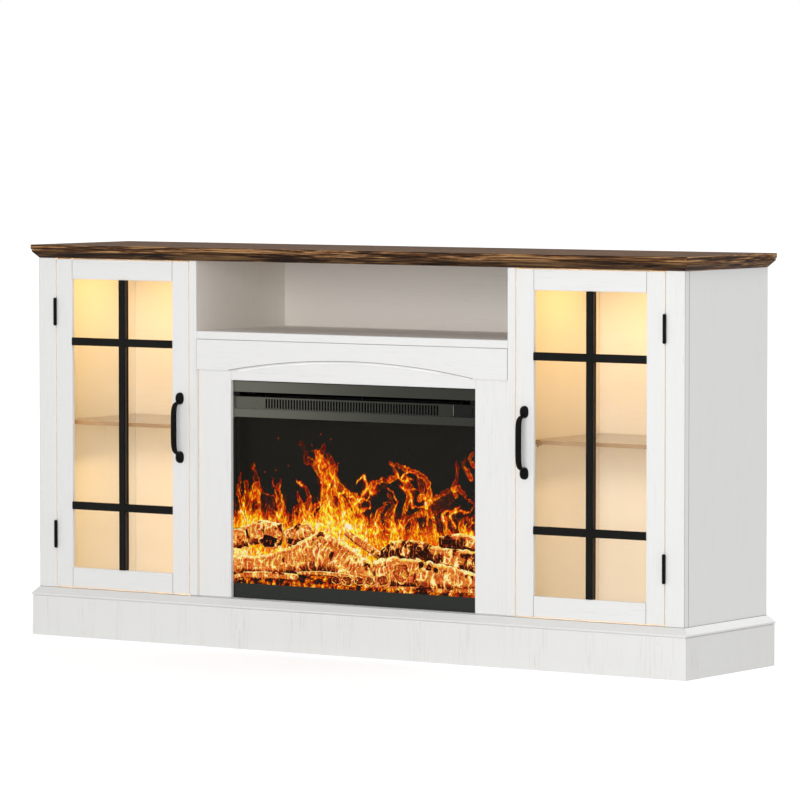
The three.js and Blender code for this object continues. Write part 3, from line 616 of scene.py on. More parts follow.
print("a small tube has", len(tube(np.eye(3), np.eye(3), np.eye(3), 8)[0]), "points")

# %% [markdown]
# ## Bow handles
#
# Each handle is a casting: two rounded feet, and a bow that springs out of them quickly and
# runs almost level between. A superellipse gives that path: a cosine and a sine raised to a
# small power. The bow swells towards its middle. The solids hold a coarse casting, and the
# same formula on a finer grid replaces it.

# %% Bow handles
HANDLE_X, HANDLE_Z, FOOT_SPACING = 418.9, 443.9, 120.6
BOW_POWER, BOW_SPREAD, BOW_OUT, BOW_WIDE, BOW_THICK = 0.42, 51, 28, 13, 9.5
FOOT_POWER, FOOT_WIDE, FOOT_TALL, FOOT_OUT = 0.8, 8.9, 12.0, 10.7


def bow_surface():
    """Ellipses along a superellipse: along = cos^0.42 x half spread, out = sin^0.42 x reach,
    each ellipse scaled from two thirds at the ends to one in the middle."""
    turn = np.linspace(0, np.pi, 72)
    along_door = powered(np.cos(turn), BOW_POWER) * BOW_SPREAD
    out = np.abs(np.sin(turn)) ** BOW_POWER * (BOW_OUT - BOW_THICK / 2)
    path = np.stack([0 * turn, -out, along_door], axis=-1)
    ahead = np.gradient(path, axis=0)
    ahead /= np.linalg.norm(ahead, axis=1, keepdims=True)
    swell = (0.66 + 0.34 * np.sin(turn))[:, None]
    side = np.array([1.0, 0, 0]) * swell * BOW_WIDE / 2
    outward = np.cross(ahead, [1.0, 0, 0]) * swell * BOW_THICK / 2
    return tube(path, side, outward, 28)


def foot_surface(z):
    """Half a superellipsoid seated on the door: the rings' radius is cos^0.8, pushed out by the
    sine, and each ring keeps the signs of its cosine and sine but raises them to 0.8."""
    lift = np.linspace(0, np.pi / 2 * 0.995, 20)[:, None]
    angle = turn_angles(40)
    size = np.cos(lift) ** FOOT_POWER
    out = -0.3 - FOOT_OUT * np.sin(lift) + 0 * angle
    rings = np.stack([FOOT_WIDE * size * powered(np.cos(angle), FOOT_POWER), out,
                      z - FOOT_TALL * size * powered(np.sin(angle), FOOT_POWER)], axis=-1)
    return capped(rings, np.array([[0, out[0, 0], z], [0, out[-1, 0], z]]))


for hand, side in HANDS:
    points, faces = merged(
        [bow_surface(), foot_surface(FOOT_SPACING / 2), foot_surface(-FOOT_SPACING / 2)])
    points = place(points[:, 0] + side * HANDLE_X, points[:, 1], points[:, 2] + HANDLE_Z)
    handle = new_piece(
        f"{hand}_bow_handle", points, faces, black_metal, f"{hand}_door")
    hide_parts(f"{hand}_door_handle")
print("handle points", len(points))

# %% [markdown]
# ## Light strips
#
# A strip of warm lamps hangs behind each door's top rail. Its body is white plastic, and only
# the lens on its underside is lit. The lens glows most over each lamp, every 16 mm, so the
# glow follows a wave along x.


# %% Light strips
LAMP_PITCH = 16


def lit_lens():
    """A lens whose light is 0.5 + 0.5 cos(2 pi x / pitch) of the way from amber to pale."""
    finish = Finish("warm_lens", srgb(255, 232, 190), 0.35)
    across = finish.node("SeparateXYZ", Vector=finish.place).outputs["X"]
    wave = finish.math("COSINE", finish.math("MULTIPLY", across, 2 * math.pi / (LAMP_PITCH * MM)))
    warmth = finish.ramp(finish.math("MULTIPLY_ADD", wave, 0.5, 0.5),
                         (0, srgb(255, 205, 120)), (1, srgb(255, 240, 200)))
    return finish.glow(warmth, 2.2).material


warm_lens = lit_lens()
dress("led_strip_*", warm_lens)
dress("led_strip_*", white_plastic, lambda normal: normal.z > -0.5)
print("lens", warm_lens.name)

# %% [markdown]
# ## Fittings
#
# What holds such a cabinet together is mostly out of sight: screws, catches, pins, clips and
# levelling feet. Turned parts come from a profile of radius and height turned about an axis.
# Boxy ones are superellipsoids, whose cosines and sines are raised to a small power, so their
# corners are rounded as moulded plastic is.


# %% Fitting shapes
def square_axes(axis):
    """Two unit directions across an axis that lies along x, depth or z."""
    across = np.roll(np.abs(axis), 1)
    return across, np.cross(axis, across)


def turned(profile, centre, axis, columns=24):
    """Pairs of radius and height along an axis, turned about it, with flat ends."""
    radius, height = np.array(profile, dtype=float).T[:, :, None]
    axis = np.array(axis, dtype=float)
    across, upwards = square_axes(axis)
    return tube(np.array(centre) + height * axis, radius * across, radius * upwards, columns)


def superbox(centre, half_sizes, power):
    """A superellipsoid: each cosine and sine keeps its sign and is raised to a small power."""
    tilt = np.linspace(-np.pi / 2, np.pi / 2, 14)[1:-1, None]
    angle = turn_angles(32)
    half_x, half_y, half_z = half_sizes
    size = powered(np.cos(tilt), power)
    rings = np.stack([half_x * size * powered(np.cos(angle), power),
                      half_y * size * powered(np.sin(angle), power),
                      half_z * powered(np.sin(tilt), power) + 0 * angle], axis=-1)
    return capped(rings + centre, np.array([[0, 0, -half_z], [0, 0, half_z]]) + centre)


SCREW_RINGS = (0.1, 0.28, 0.42, 0.55, 0.66, 0.8, 0.92, 1.0, 1.0)


def screw_head(centre, axis, radius, rise=0.1):
    """Rings out from the middle. In radii, the height is rise x (1 - share squared), less a
    cross where the smaller of |u| and |w| is under 0.2, which is full depth under 0.13. The
    last ring goes down the side."""
    share = np.array(SCREW_RINGS)[:, None]
    angle = turn_angles(32)
    u, w = share * np.cos(angle), share * np.sin(angle)
    arms = np.clip((0.2 - np.minimum(np.abs(u), np.abs(w))) / 0.07, 0, 1) * (share < 0.6)
    height = rise * (1 - share ** 2) - 0.35 * arms
    height[-1] = -0.5
    axis = np.array(axis, dtype=float)
    across, upwards = square_axes(-axis)
    offset = u[..., None] * across + w[..., None] * upwards + height[..., None] * axis
    hubs = np.array([[-0.35], [-0.5]]) * axis
    return capped(centre + radius * offset, centre + radius * hubs)


def fitting(name, parts, material, body):
    """Several shapes given as x, depth and z in mm, as one piece."""
    points, faces = merged(parts)
    return new_piece(name, place(*points.T), faces, material, body)


print("screw head points", len(screw_head((0, 0, 0), (1, 0, 0), 2)[0]))

# %% [markdown]
# ### Door and carcass fittings
#
# Each leaf of a butt hinge takes three screws. A magnetic catch on the partition meets a
# plate behind the lock stile. Turn clips hold the glass in its rebate, a second grid of bars
# lies behind it, pins carry the shelf, and caps hide the cam bolts that join the boards.


# %% Door and carcass fittings
PARTITION_X, PANEL_X, DOOR_BACK = 396.3, 768.5, 17.5
SHELF_UNDER = box_mm("shelf_left")[0][2]
CATCH_Z, RUNG_FROM_END = 690, 128.8
PIN, COLLAR = [(2.4, 0.1), (2.4, 9), (1.9, 9.6)], [(4, 0.1), (4, 1), (3.4, 1.4)]
CAP = [(6, 0.1), (6, 0.7), (5.2, 1.1), (2.4, 1.2)]
LAMP = [(2.3, 0.1), (2.2, 0.5), (1.7, 1.1), (0.9, 1.5), (0.2, 1.6)]


def leaf_screws(hand, leaf):
    """Three screws on the free face of each of the two leaves, facing the gap."""
    heads = []
    for level in ("lower", "upper"):
        low, high = box_mm(f"{hand}_{level}_hinge_{leaf}_leaf")
        x, _, z = (low + high) / 2
        way = math.copysign(1, x) * (-1 if leaf == "post" else 1)
        for step, depth in ((-19, 7), (0, 10), (19, 7)):
            heads.append(screw_head((x - way * 0.25, depth, z + step), (way, 0, 0), 1.9, 0.06))
    return heads


def inner_bars(door, depth):
    """One upright bar and two rungs across it, each a little longer than the bars outside."""
    low, high = box_mm(f"{door}_glazing_bars")
    x, _, z = (low + high) / 2
    half_wide, _, half_high = (high - low) / 2
    rung = half_high - RUNG_FROM_END
    return [superbox((x, depth, z), (4.8, 2.4, half_high + 6), 0.12)] + [
        superbox((x, depth + 0.2, z + way * rung), (half_wide + 6, 2.4, 6.4), 0.12)
        for way in (1, -1)]


def on_walls(side, *kinds):
    """Turned parts on the partition and on the side panel, at two depths. Each kind is a
    profile and a height."""
    return [turned(profile, (side * wall, depth, z), (way, 0, 0))
            for depth in (82, 262)
            for wall, way in ((PARTITION_X, side), (PANEL_X, -side))
            for profile, z in kinds]


for hand, side in HANDS:
    door = f"{hand}_door"
    for leaf, body in (("post", "cabinet"), ("door", door)):
        fitting(f"{hand}_{leaf}_hinge_screws", leaf_screws(hand, leaf), black_metal, body)
    glass_low, glass_high = box_mm(f"{door}_glass")
    fitting(f"{hand}_inner_bars", inner_bars(door, glass_high[1] + 2.6), black_metal, door)

    clip_places = [(x, z, way) for z, way in ((glass_low[2] + 1.5, -1), (glass_high[2] - 1.5, 1))
                   for x in np.linspace(glass_low[0] + 45, glass_high[0] - 45, 4)]
    clips = [superbox((x, DOOR_BACK + 1.3, z + 3 * way), (4, 1.2, 7), 0.4)
             for x, z, way in clip_places]
    fitting(f"{hand}_glass_clips", clips, white_plastic, door)
    screws = [screw_head((x, DOOR_BACK + 2.4, z + 6 * way), (0, 1, 0), 2.2, 0.3)
              for x, z, way in clip_places]
    fitting(f"{hand}_clip_screws", screws, nickel, door)

    plate = superbox((side * (PARTITION_X + 15), DOOR_BACK + 0.8, CATCH_Z), (6, 0.7, 14), 0.15)
    fitting(f"{hand}_catch_plate", [plate], nickel, door)
    case = superbox((side * (PARTITION_X + 6.2), 27.5, CATCH_Z), (6, 8, 18), 0.15)
    magnet = superbox((side * (PARTITION_X + 9.4), 22.5, CATCH_Z), (4, 3, 13), 0.2)
    fitting(f"{hand}_catch", [case, magnet], black_plastic, "cabinet")

    pins = on_walls(side, (PIN, SHELF_UNDER - 2.6), (COLLAR, SHELF_UNDER - 4.3))
    fitting(f"{hand}_shelf_pins", pins, nickel, "cabinet")
    caps = on_walls(side, (CAP, 112), (CAP, 770))
    fitting(f"{hand}_cam_caps", caps, white_plastic, "cabinet")

    strip_low, strip_high = box_mm(f"led_strip_{hand}")
    strip_depth = (strip_low[1] + strip_high[1]) / 2
    lamps = [turned(LAMP, (x, strip_depth, strip_low[2]), (0, 0, -1), 16)
             for x in np.arange(strip_low[0] + 12, strip_high[0] - 8, LAMP_PITCH)]
    fitting(f"{hand}_lamps", lamps, warm_lens, "cabinet")
print("clips on a door", len(clips), "lamps on a strip", len(lamps))

# %% [markdown]
# ### Joint lines
#
# Where two boards meet, a hair of glue and shade shows as a thin grey line. The gap between
# the solids is too narrow to hold much shade in a picture, so each joint gets a bead: a tube
# of eight sides that is sunk into the boards and stands a tenth of a millimetre proud.


# %% Joint lines
def bead(path, half_width, outward, proud=0.12):
    """A flat tube along a path: half_width across it and proud along the outward normal."""
    path = np.array(path, dtype=float)
    ahead = np.gradient(path, axis=0)
    ahead /= np.linalg.norm(ahead, axis=1, keepdims=True)
    normal = np.broadcast_to(np.array(outward, dtype=float), path.shape)
    return tube(path, np.cross(ahead, normal) * half_width, normal * proud, 8)


def thin_coat(name, levels, roughness, shine=0.3):
    """A coat with hardly any skin, for lines too thin to show one."""
    return coated(name, srgb(*levels), roughness, depth=0.00001, shine=shine)


joint_shade = thin_coat("joint_shade", (158, 156, 152), 0.7)
arch_shade = thin_coat("arch_shade", (132, 130, 127), 0.7)
TO_FRONT = (0, -1, 0)
skirt_top = box_mm("skirting_front")[1][2] + 0.3
valance_low, valance_high = box_mm("arched_valance")
body_low, body_high = box_mm("front_post_left")[0], box_mm("front_post_right")[1]
panel_back = box_mm("side_panel_right")[1][1]

ARCH_HALF, ARCH_RISE, ARCH_SPRINGING = 297.3, 25.4, 565
arch_radius = (ARCH_HALF ** 2 + ARCH_RISE ** 2) / (2 * ARCH_RISE)
arch_x = np.linspace(-ARCH_HALF, ARCH_HALF, 61)
arch_z = ARCH_SPRINGING + ARCH_RISE - arch_radius + np.sqrt(arch_radius ** 2 - arch_x ** 2)


def along_arch(depth, lift, half_width, left_out=0):
    """A bead along the arc at a depth, lifted, with so many points left out at each end."""
    path = np.stack([arch_x, np.full_like(arch_x, depth), arch_z + lift], axis=-1)
    return [bead(path[left_out:len(path) - left_out], half_width, TO_FRONT)]


fitting("arch_line", along_arch(valance_low[1], 0.5, 0.5), arch_shade, "cabinet")
# Under the arch, a pale bead on the header is a painted highlight.
fitting("arch_sheen", along_arch(box_mm("fire_header")[0][1], -3.9, 1.6, 1),
        thin_coat("arch_painted_highlight", (247, 247, 246), 0.6), "cabinet")

for hand, side in HANDS:
    face_x, outward = side * body_high[0], (side, 0, 0)
    lines = [bead([(face_x, depth, skirt_top), (face_x, depth, body_high[2])], half, outward)
             for depth, half in ((0.7, 0.55), (15.8, 0.65))]
    lines.append(bead([(face_x, 0.5, skirt_top), (face_x, panel_back, skirt_top)], 0.5, outward))
    end_x = valance_low[0] - 0.3 if side < 0 else valance_high[0] + 0.3
    lines.append(bead([(end_x, 0.3, z) for z in (valance_low[2], valance_high[2])], 0.5, TO_FRONT))
    fitting(f"{hand}_post_lines", lines, joint_shade, "cabinet")
    lines = []
    for rail in ("top", "bottom"):
        low, high = box_mm(f"{hand}_door_{rail}_rail")
        for x in (low[0] - 0.15, high[0] + 0.15):
            ends = [(x, low[1], z) for z in (low[2] + 0.4, high[2] - 0.4)]
            lines.append(bead(ends, 0.35, TO_FRONT, 0.08))
    fitting(f"{hand}_door_joint_lines", lines, joint_shade, f"{hand}_door")
line = bead([(x, 0, skirt_top) for x in (body_low[0], body_high[0])], 0.5, TO_FRONT)
fitting("skirting_line", [line], joint_shade, "cabinet")
print("joint lines at", round(skirt_top, 1), "and along an arc of radius", round(arch_radius, 1))

# %% [markdown]
# The fire's front has lines of its own: painted shade under the frame's top and the grille's,
# painted shade of a gap at each end between grille and frame, and a painted highlight along an
# edge of the control panel.

# %% Lines on the fire's front
frame_low, frame_high = box_mm("fire_frame")
grille_low, grille_high = box_mm("vent_grille")
panel_low, panel_high = box_mm("control_panel")


def level_bead(low, high, inset, z, half_width):
    """A level bead on the front of a box, short of the box's ends by the inset."""
    ends = [(x, low[1], z) for x in (low[0] + inset, high[0] - inset)]
    return bead(ends, half_width, TO_FRONT, 0.1)


shade_lines = [level_bead(frame_low, frame_high, 0.4, frame_high[2] - 0.9, 0.8),
               level_bead(grille_low, grille_high, 0.2, grille_high[2] - 0.4, 0.5)]
for x in (frame_low[0] + 8.4, frame_high[0] - 8.4):
    shade_lines.append(superbox((x, frame_low[1], grille_high[2] + 4.6), (8, 0.12, 4), 0.05))
fitting("frame_shade_lines", shade_lines, thin_coat("gap_shade", (22, 22, 20), 0.8, 0.1),
        "cabinet")
# A pale line along the control panel's edge is a painted highlight.
ends = [(panel_low[0] + 3.7, panel_low[1], z) for z in (panel_low[2] + 1.5, panel_high[2] - 1.5)]
fitting("panel_edge", [bead(ends, 0.55, TO_FRONT, 0.1)],
        thin_coat("painted_edge_highlight", (150, 149, 140), 0.5), "cabinet")
print("lines on the fire's front", len(shade_lines) + 1)

# %% [markdown]
# ### Fire and floor fittings
#
# The blower's motor sits outside the housing under a domed cap. Six feet with a threaded stem
# stand inside the skirting, the thread being a radius that follows a saw tooth.


# %% Fire and floor fittings
wheel_low, wheel_high = box_mm("blower_wheel")
motor = (box_mm("fire_housing")[1][0], *(wheel_low[1:] + wheel_high[1:]) / 2)
SIDEWAYS, UPRIGHT = (1, 0, 0), (0, 0, 1)
DOME = [(26, 0.2), (26, 26), (24.5, 30), (20, 33.5), (12, 35.5), (5, 36)]
BOSS = [(4.5, 36.1), (4.5, 39), (3.5, 40)]
fitting("motor_cap", [turned(DOME, motor, SIDEWAYS, 48), turned(BOSS, motor, SIDEWAYS)],
        black_plastic, "cabinet")

THREAD = [(4 + 0.5 * (step % 2), 9 + 0.75 * step) for step in range(96)]
PAD = [(14, 0.4), (15, 1.2), (15, 5), (12, 7), (5.5, 8.6)]
NUT = [(8, 76), (8, 82.8), (7.4, 83.4)]
foot_parts = []
for x in (-640, 0, 640):
    for depth in (46, 272):
        foot_parts.append(turned(PAD + THREAD, (x, depth, 0), UPRIGHT))
        foot_parts.append(turned(NUT, (x, depth, 0), UPRIGHT, 6))
fitting("levelling_feet", foot_parts, black_plastic, "cabinet")
print("feet points", sum(len(points) for points, _ in foot_parts))

# %% [markdown]
# ## The flames
#
# The fire's flames are light thrown on a dark screen. They could be a stack of clear sheets,
# but the real thing is one lit surface, so this is one too: a fine grid in front of the
# screen that carries a heat value at every point. Each lick of flame is a smooth curve with
# a girth that shrinks to its tip. The grid is first bent by smooth noise, which turns plain
# curves into ragged flames, and threads of noise run up through them.


# %% Smooth noise
def lattice(i, j, seed):
    """A fixed random value for each whole-number place."""
    value = np.sin(i * 12.9898 + j * 78.233 + seed * 37.719) * 43758.5453
    return value - np.floor(value)


def smooth_noise(x, z, seed):
    """Values from -1 to 1 that run smoothly between the lattice's random values."""
    i, j = np.floor(x), np.floor(z)
    u, w = x - i, z - j
    u, w = u * u * (3 - 2 * u), w * w * (3 - 2 * w)
    low = lattice(i, j, seed) * (1 - u) + lattice(i + 1, j, seed) * u
    high = lattice(i, j + 1, seed) * (1 - u) + lattice(i + 1, j + 1, seed) * u
    return 2 * (low * (1 - w) + high * w) - 1


def ridges(x, z, seed, power):
    """Thin crests where smooth noise crosses zero: (1 - |noise|) to a power."""
    return (1 - np.abs(smooth_noise(x, z, seed))) ** power


def through(knots, steps=12):
    """A smooth curve through points: a Catmull-Rom spline, sampled evenly between each two."""
    padded = np.concatenate([2 * knots[:1] - knots[1:2], knots, 2 * knots[-1:] - knots[-2:-1]])
    a, b, c, d = (padded[k:len(padded) - 3 + k, None] for k in range(4))
    t = np.linspace(0, 1, steps, endpoint=False)[None, :, None]
    spans = 0.5 * (2 * b + (c - a) * t + (2 * a - 5 * b + 4 * c - d) * t ** 2
                   + (3 * b - a - 3 * c + d) * t ** 3)
    return np.concatenate([spans.reshape(-1, knots.shape[1]), knots[-1:]])


print("a curve through two points has", len(through(np.eye(2))), "points")

# %% [markdown]
# ### Licks of flame
#
# The large licks follow the photograph's, so their curves are a table of points. Everything
# finer comes from noise.

# %% Licks of flame
# girth and strength, then x and z of the points from foot to tip, in mm
LICKS = (
    (8, 0.8, -290, 249, -298, 276, -291, 304, -294, 338),
    (6, 0.75, -277, 243, -286, 277, -280, 298, -284, 318),
    (11, 0.62, -267, 261, -272, 288, -266, 312, -270, 354),
    (7, 0.7, -274, 308, -268, 330, -254, 319),
    (3, 0.5, -276, 362, -272, 370, -270, 376),
    (4, 0.75, -274, 260, -257, 285, -262, 305, -258, 323),
    (1.5, 0.4, -255, 314, -235, 312, -221, 301, -217, 287),
    (12, 0.3, -243, 262, -237, 286, -238, 310),
    (9, 0.7, -203, 261, -205, 288, -214, 304, -208, 342),
    (2.5, 0.85, -213, 264, -202, 288, -205, 312, -208, 332),
    (3, 0.5, -222, 329, -223, 342),
    (5, 0.5, -192, 265, -196, 288, -191, 312),
    (6, 0.8, -154, 260, -150, 287, -159, 304, -166, 318),
    (7, 0.8, -138, 257, -142, 284, -134, 308, -144, 331),
    (6, 0.85, -122, 251, -130, 274, -124, 292, -105, 302, -98, 304),
    (3, 0.9, -152, 333, -158, 339, -168, 343),
    (5, 0.6, -171, 256, -173, 279, -163, 293),
    (5, 0.85, -308, 246, -304, 280, -309, 312, -305, 352),
    (4, 0.8, -298, 250, -301, 284, -296, 318),
    (24, 0.85, -68, 247, -72, 284, -80, 317, -93, 357, -102, 388),
    (12, 0.8, -105, 252, -93, 283, -97, 310, -88, 330),
    (8, 0.72, -105, 376, -109, 394, -99, 416),
    (4, 0.7, -107, 386, -117, 400, -129, 405),
    (6, 0.5, -125, 381, -142, 386, -142, 402, -158, 421),
    (9, 0.6, -88, 347, -80, 378, -88, 398),
    (6, 0.6, -105, 353, -117, 366, -121, 376, -105, 384),
    (5, 0.8, -72, 321, -68, 341, -72, 358, -65, 379),
    (4, 0.85, -21, 314, -48, 330, -68, 351),
    (9, 0.75, -39, 255, -48, 295, -62, 321),
    (6, 0.75, -23, 289, -33, 309, -52, 325),
    (5, 0.8, -23, 262, -29, 282, -19, 300),
    (3, 0.85, 22, 325, 10, 334, 10, 344, -7, 354, -20, 338),
    (3, 0.85, 10, 334, -11, 315, -26, 299, -11, 292, 16, 294, 14, 309, -11, 315),
    (2, 0.7, -7, 307, 6, 312, 18, 325, 18, 331),
    (12, 0.35, -15, 300, 10, 304),
    (3, 0.75, -7, 354, -2, 357, 12, 346),
    (5, 0.7, 18, 331, 30, 346, 50, 353, 63, 350),
    (9, 0.35, 26, 335, 50, 345),
    (4, 0.75, 40, 255, 36, 282, 46, 299, 58, 308),
    (6, 0.6, 58, 256, 56, 283, 68, 300, 58, 323),
    (3, 0.8, 74, 253, 70, 287, 80, 307, 74, 320, 54, 338),
    (5, 0.7, 90, 257, 97, 291, 106, 325, 93, 339),
    (3, 0.8, 109, 325, 115, 305, 135, 299, 157, 306),
    (3, 0.7, 88, 338, 109, 335, 127, 336),
    (6, 0.85, 155, 312, 157, 337, 146, 359, 127, 373, 95, 378, 64, 387),
    (4, 0.8, 64, 353, 78, 361, 71, 374, 68, 384),
    (3, 0.8, 78, 362, 95, 353, 119, 356),
    (2, 0.7, 93, 363, 109, 371, 127, 371),
    (6, 0.55, 141, 321, 138, 343, 129, 364),
    (6, 0.7, 135, 320, 147, 322, 155, 327),
    (7, 0.5, 99, 355, 111, 335, 119, 309),
    (4, 0.6, 151, 302, 175, 323, 203, 335, 219, 334),
    (14, 0.4, 159, 297, 191, 315, 219, 323),
    (4, 0.6, 221, 328, 215, 343, 223, 366, 224, 397),
    (5, 0.7, 217, 340, 230, 343, 242, 327, 264, 313),
    (4, 0.75, 258, 363, 250, 377, 236, 393, 244, 399),
    (4, 0.8, 262, 391, 254, 404, 264, 419),
    (3, 0.85, 191, 279, 199, 297, 215, 296, 227, 305),
    (3, 0.8, 219, 267, 211, 283, 225, 297, 250, 295, 264, 308),
    (4, 0.7, 242, 254, 235, 274, 246, 284, 264, 275),
    (4, 0.7, 175, 251, 167, 278, 159, 294, 151, 304),
    (5, 0.6, 127, 256, 119, 279, 135, 290, 147, 290),
    (4, 0.7, 99, 268, 115, 285, 147, 285, 151, 264),
    (5, 0.7, 207, 249, 195, 272, 203, 286),
    (4, 0.8, 262, 249, 254, 268, 262, 288),
    (8, 0.8, 26, 251, 20, 268, 24, 281),
    (3, 0.9, -7, 256, -2, 273, -7, 287, 6, 290),
    (6, 0.7, 280, 250, 274, 290, 284, 330),
    (6, 1.0, -4, 228, -20, 246, -30, 268),
)
SPARKS = (
    (-212, 427), (-128, 416), (-81, 430), (-106, 439), (-245, 357), (-186, 372), (-218, 362),
)


def lick_heat(x, z):
    """How much of the screen's dark the licks leave: for each, strength times a bell of the
    distance over the girth, with a bright rim one girth out on the broad ones."""
    bent_x = x + 3.4 * smooth_noise(x / 13, z / 17, 1) + 2.4 * smooth_noise(x / 5.5, z / 8, 2)
    bent_z = z + 3.5 * smooth_noise(x / 9, z / 15, 3) + 1.8 * smooth_noise(x / 4, z / 6, 4)
    dark = np.ones_like(x)
    for girth, strength, *numbers in LICKS:
        curve = through(np.reshape(numbers, (-1, 2)).astype(float))
        t = np.linspace(0, 1, len(curve))
        reach = girth * 3 + 8
        low, high = curve.min(axis=0) - reach, curve.max(axis=0) + reach
        near = (bent_x > low[0]) & (bent_x < high[0]) & (bent_z > low[1]) & (bent_z < high[1])
        away = np.hypot(bent_x[near][:, None] - curve[:, 0], bent_z[near][:, None] - curve[:, 1])
        away = away / (girth * (0.3 + 0.7 * (1 - t) ** 0.7) + 0.5)
        fade = 1 - 0.35 * t[away.argmin(axis=1)]
        away = away.min(axis=1)
        if girth > 3:
            bell = 0.6 * np.exp(-away ** 2 * 0.7) + 0.66 * np.exp(-((away - 1) / 0.24) ** 2)
        else:
            bell = np.exp(-away ** 2) + 0.22 * np.exp(-(away / 3.2) ** 2)
        dark[near] *= 1 - np.clip(strength * fade * bell, 0, 0.97)
    return 1 - dark


def flame_heat(x, z):
    """Licks, a low fire that ends at a wavy line, and threads that fade out higher up, joined
    so that what each leaves dark is multiplied; then dark gaps, one hot stroke and sparks."""
    body = lick_heat(x, z)
    flow_x = x + 8 * smooth_noise(x / 22, z / 26, 6) + 4 * smooth_noise(x / 9, z / 12, 7)
    flow_z = z + 6 * smooth_noise(x / 12, z / 20, 8)
    threads = (0.95 * ridges(flow_x / 6, flow_z / 30, 9, 13)
               + 0.7 * ridges(flow_x / 3, flow_z / 14, 10, 11))
    hearth = np.exp(-((x + 60) / 55) ** 2)
    crest = 286 + 12 * smooth_noise(x / 26, 0 * x, 12) + 55 * hearth
    above = 1 / (1 + np.exp((z - crest) / 13))
    line = 262 + 9 * smooth_noise(x / 15, 0 * x, 13) + 30 * hearth - 8 * (x > 10)
    low_fire = 0.8 / (1 + np.exp((z - line) / 8))
    gap = np.clip(1.6 * smooth_noise(x / 14 + 3, z / 26, 15) - 0.15, 0, 1)
    gap *= np.exp(-((z - 292) / 36) ** 2)
    heat = 1 - ((1 - body * (0.7 + 0.55 * threads)) * (1 - low_fire * (0.7 + 0.5 * threads))
                * (1 - 0.7 * threads * above))
    heat = np.maximum(heat * (1 - 0.8 * gap * (1 - 0.8 * body)), 0.17 * above)
    heat = heat + 0.9 * np.exp(-((x + 37) / 7) ** 2 - ((z - 255 + 0.4 * (x + 37)) / 4.5) ** 2)
    for spark_x, spark_z in SPARKS:
        heat = heat + 0.6 * np.exp(-(np.hypot(x - spark_x, (z - spark_z) * 0.7) / 1.3) ** 2)
    return np.clip(0.98 * heat, 0, 1.1)


print("licks", len(LICKS), "sparks", len(SPARKS))

# %% [markdown]
# ### Colour of heat
#
# Heat becomes colour as it does in a real fire: none, deep red, orange, yellow and nearly
# white. The flames, the logs and the coals all carry a heat of their own, so one kind of
# finish serves them all: heat, broken up by a fine noise, goes through a ramp of colours and
# is given off as light.


# %% Glowing finishes
def tinted(stops, change, falling):
    """The stops as redder or yellower colours: past 0.1, green is times 1 + change - falling
    x place, but never more than red."""
    made = []
    for at, (red, green, blue) in stops:
        if at > 0.1:
            green = min(red, green * (1 + change - falling * at))
        made.append((at, srgb(red, green, blue)))
    return made


def glowing(name, scale, spread, stops, sway=1.0, relief=0.0, veins=None):
    """Heat times a noise between 1 - spread and 1 + spread, as colour and as light. A second
    noise mixes a redder and a yellower set of the same colours, as far apart as sway says.
    Veins are the borders of cells: bright lines wherever a third noise lets them be."""
    finish = Finish(name, srgb(16, 15, 13), 0.6, Specular_IOR_Level=0.05)
    speckle = finish.noise(scale, rough=0.65)
    heat = finish.math("MULTIPLY", finish.hotness(),
                       finish.curve(speckle, 0.3, 0.7, 1 - spread, 1 + spread))
    if veins:
        border = finish.borders(finish.shifted(veins, finish.bend(50), 1.2))
        light = finish.curve(finish.noise(60, detail=2), 0.5, 0.6, 0.0, 0.42)
        heat = finish.math("MULTIPLY_ADD", finish.curve(border, 0.01, 0.06, 1.0, 0.0), light, heat)
    hue = finish.curve(finish.noise((170, 170, 120), detail=2), 0.36, 0.66)
    redder = finish.ramp(heat, *tinted(stops, -0.62 * sway, -0.55 * sway))
    yellower = finish.ramp(heat, *tinted(stops, 1.1 * sway, 1.1 * sway))
    finish.glow(finish.mix(hue, redder, yellower))
    finish.material.cycles.emission_sampling = "NONE"
    if relief:
        finish.relief(heat, relief, 0.6)
    return finish.material


FLAME_COLORS = (
    (0.08, (25, 24, 20)), (0.2, (74, 16, 6)), (0.34, (176, 38, 0)), (0.48, (238, 84, 2)),
    (0.62, (252, 140, 10)), (0.76, (255, 200, 24)), (0.9, (255, 236, 70)), (1.0, (255, 253, 225)),
)
flame_light = glowing("flame_light", (420, 420, 150), 0.24, FLAME_COLORS)

screen_low, screen_high = box_mm("flame_screen")
flame_depth = screen_low[1] - 0.2
SCREEN_STEP = 1.6
across, upwards = (np.arange(screen_low[axis] + 0.5, screen_high[axis], SCREEN_STEP)
                   for axis in (0, 2))
grid_x, grid_z = np.meshgrid(across, upwards, indexing="ij")
heat = flame_heat(grid_x, grid_z)
new_piece("flames", place(grid_x, flame_depth, grid_z), [grid_faces(*grid_x.shape)],
          flame_light, "cabinet", heat)
dress("flame_screen", coated("screen_black", srgb(27, 26, 22), 0.4, shine=0.05))
print("flame grid", grid_x.shape, "hottest", round(float(heat.max()), 3))

# %% [markdown]
# ## Logs
#
# The log set is painted resin, lit from inside: orange where thin, black where charred, and
# yellow in the cracks, with a painted highlight along the tops that face the flames. Each log is
# a tube of rings along a curve, and its radius swells with bark. Heat on its skin is a sum:
# fibres along the log, cracks across it, blotches of char, a painted highlight on top and
# painted shade underneath.


# %% Log surfaces
LOG_COLORS = (
    (0.0, (8, 3, 2)), (0.2, (66, 16, 4)), (0.34, (150, 44, 10)), (0.45, (214, 92, 30)),
    (0.56, (236, 128, 54)), (0.68, (248, 166, 70)), (0.8, (255, 222, 92)), (1.0, (255, 252, 190)),
)
log_skin = glowing("log_skin", (300, 300, 420), 0.2, LOG_COLORS, 0.5, 0.0014, (80, 60, 34))


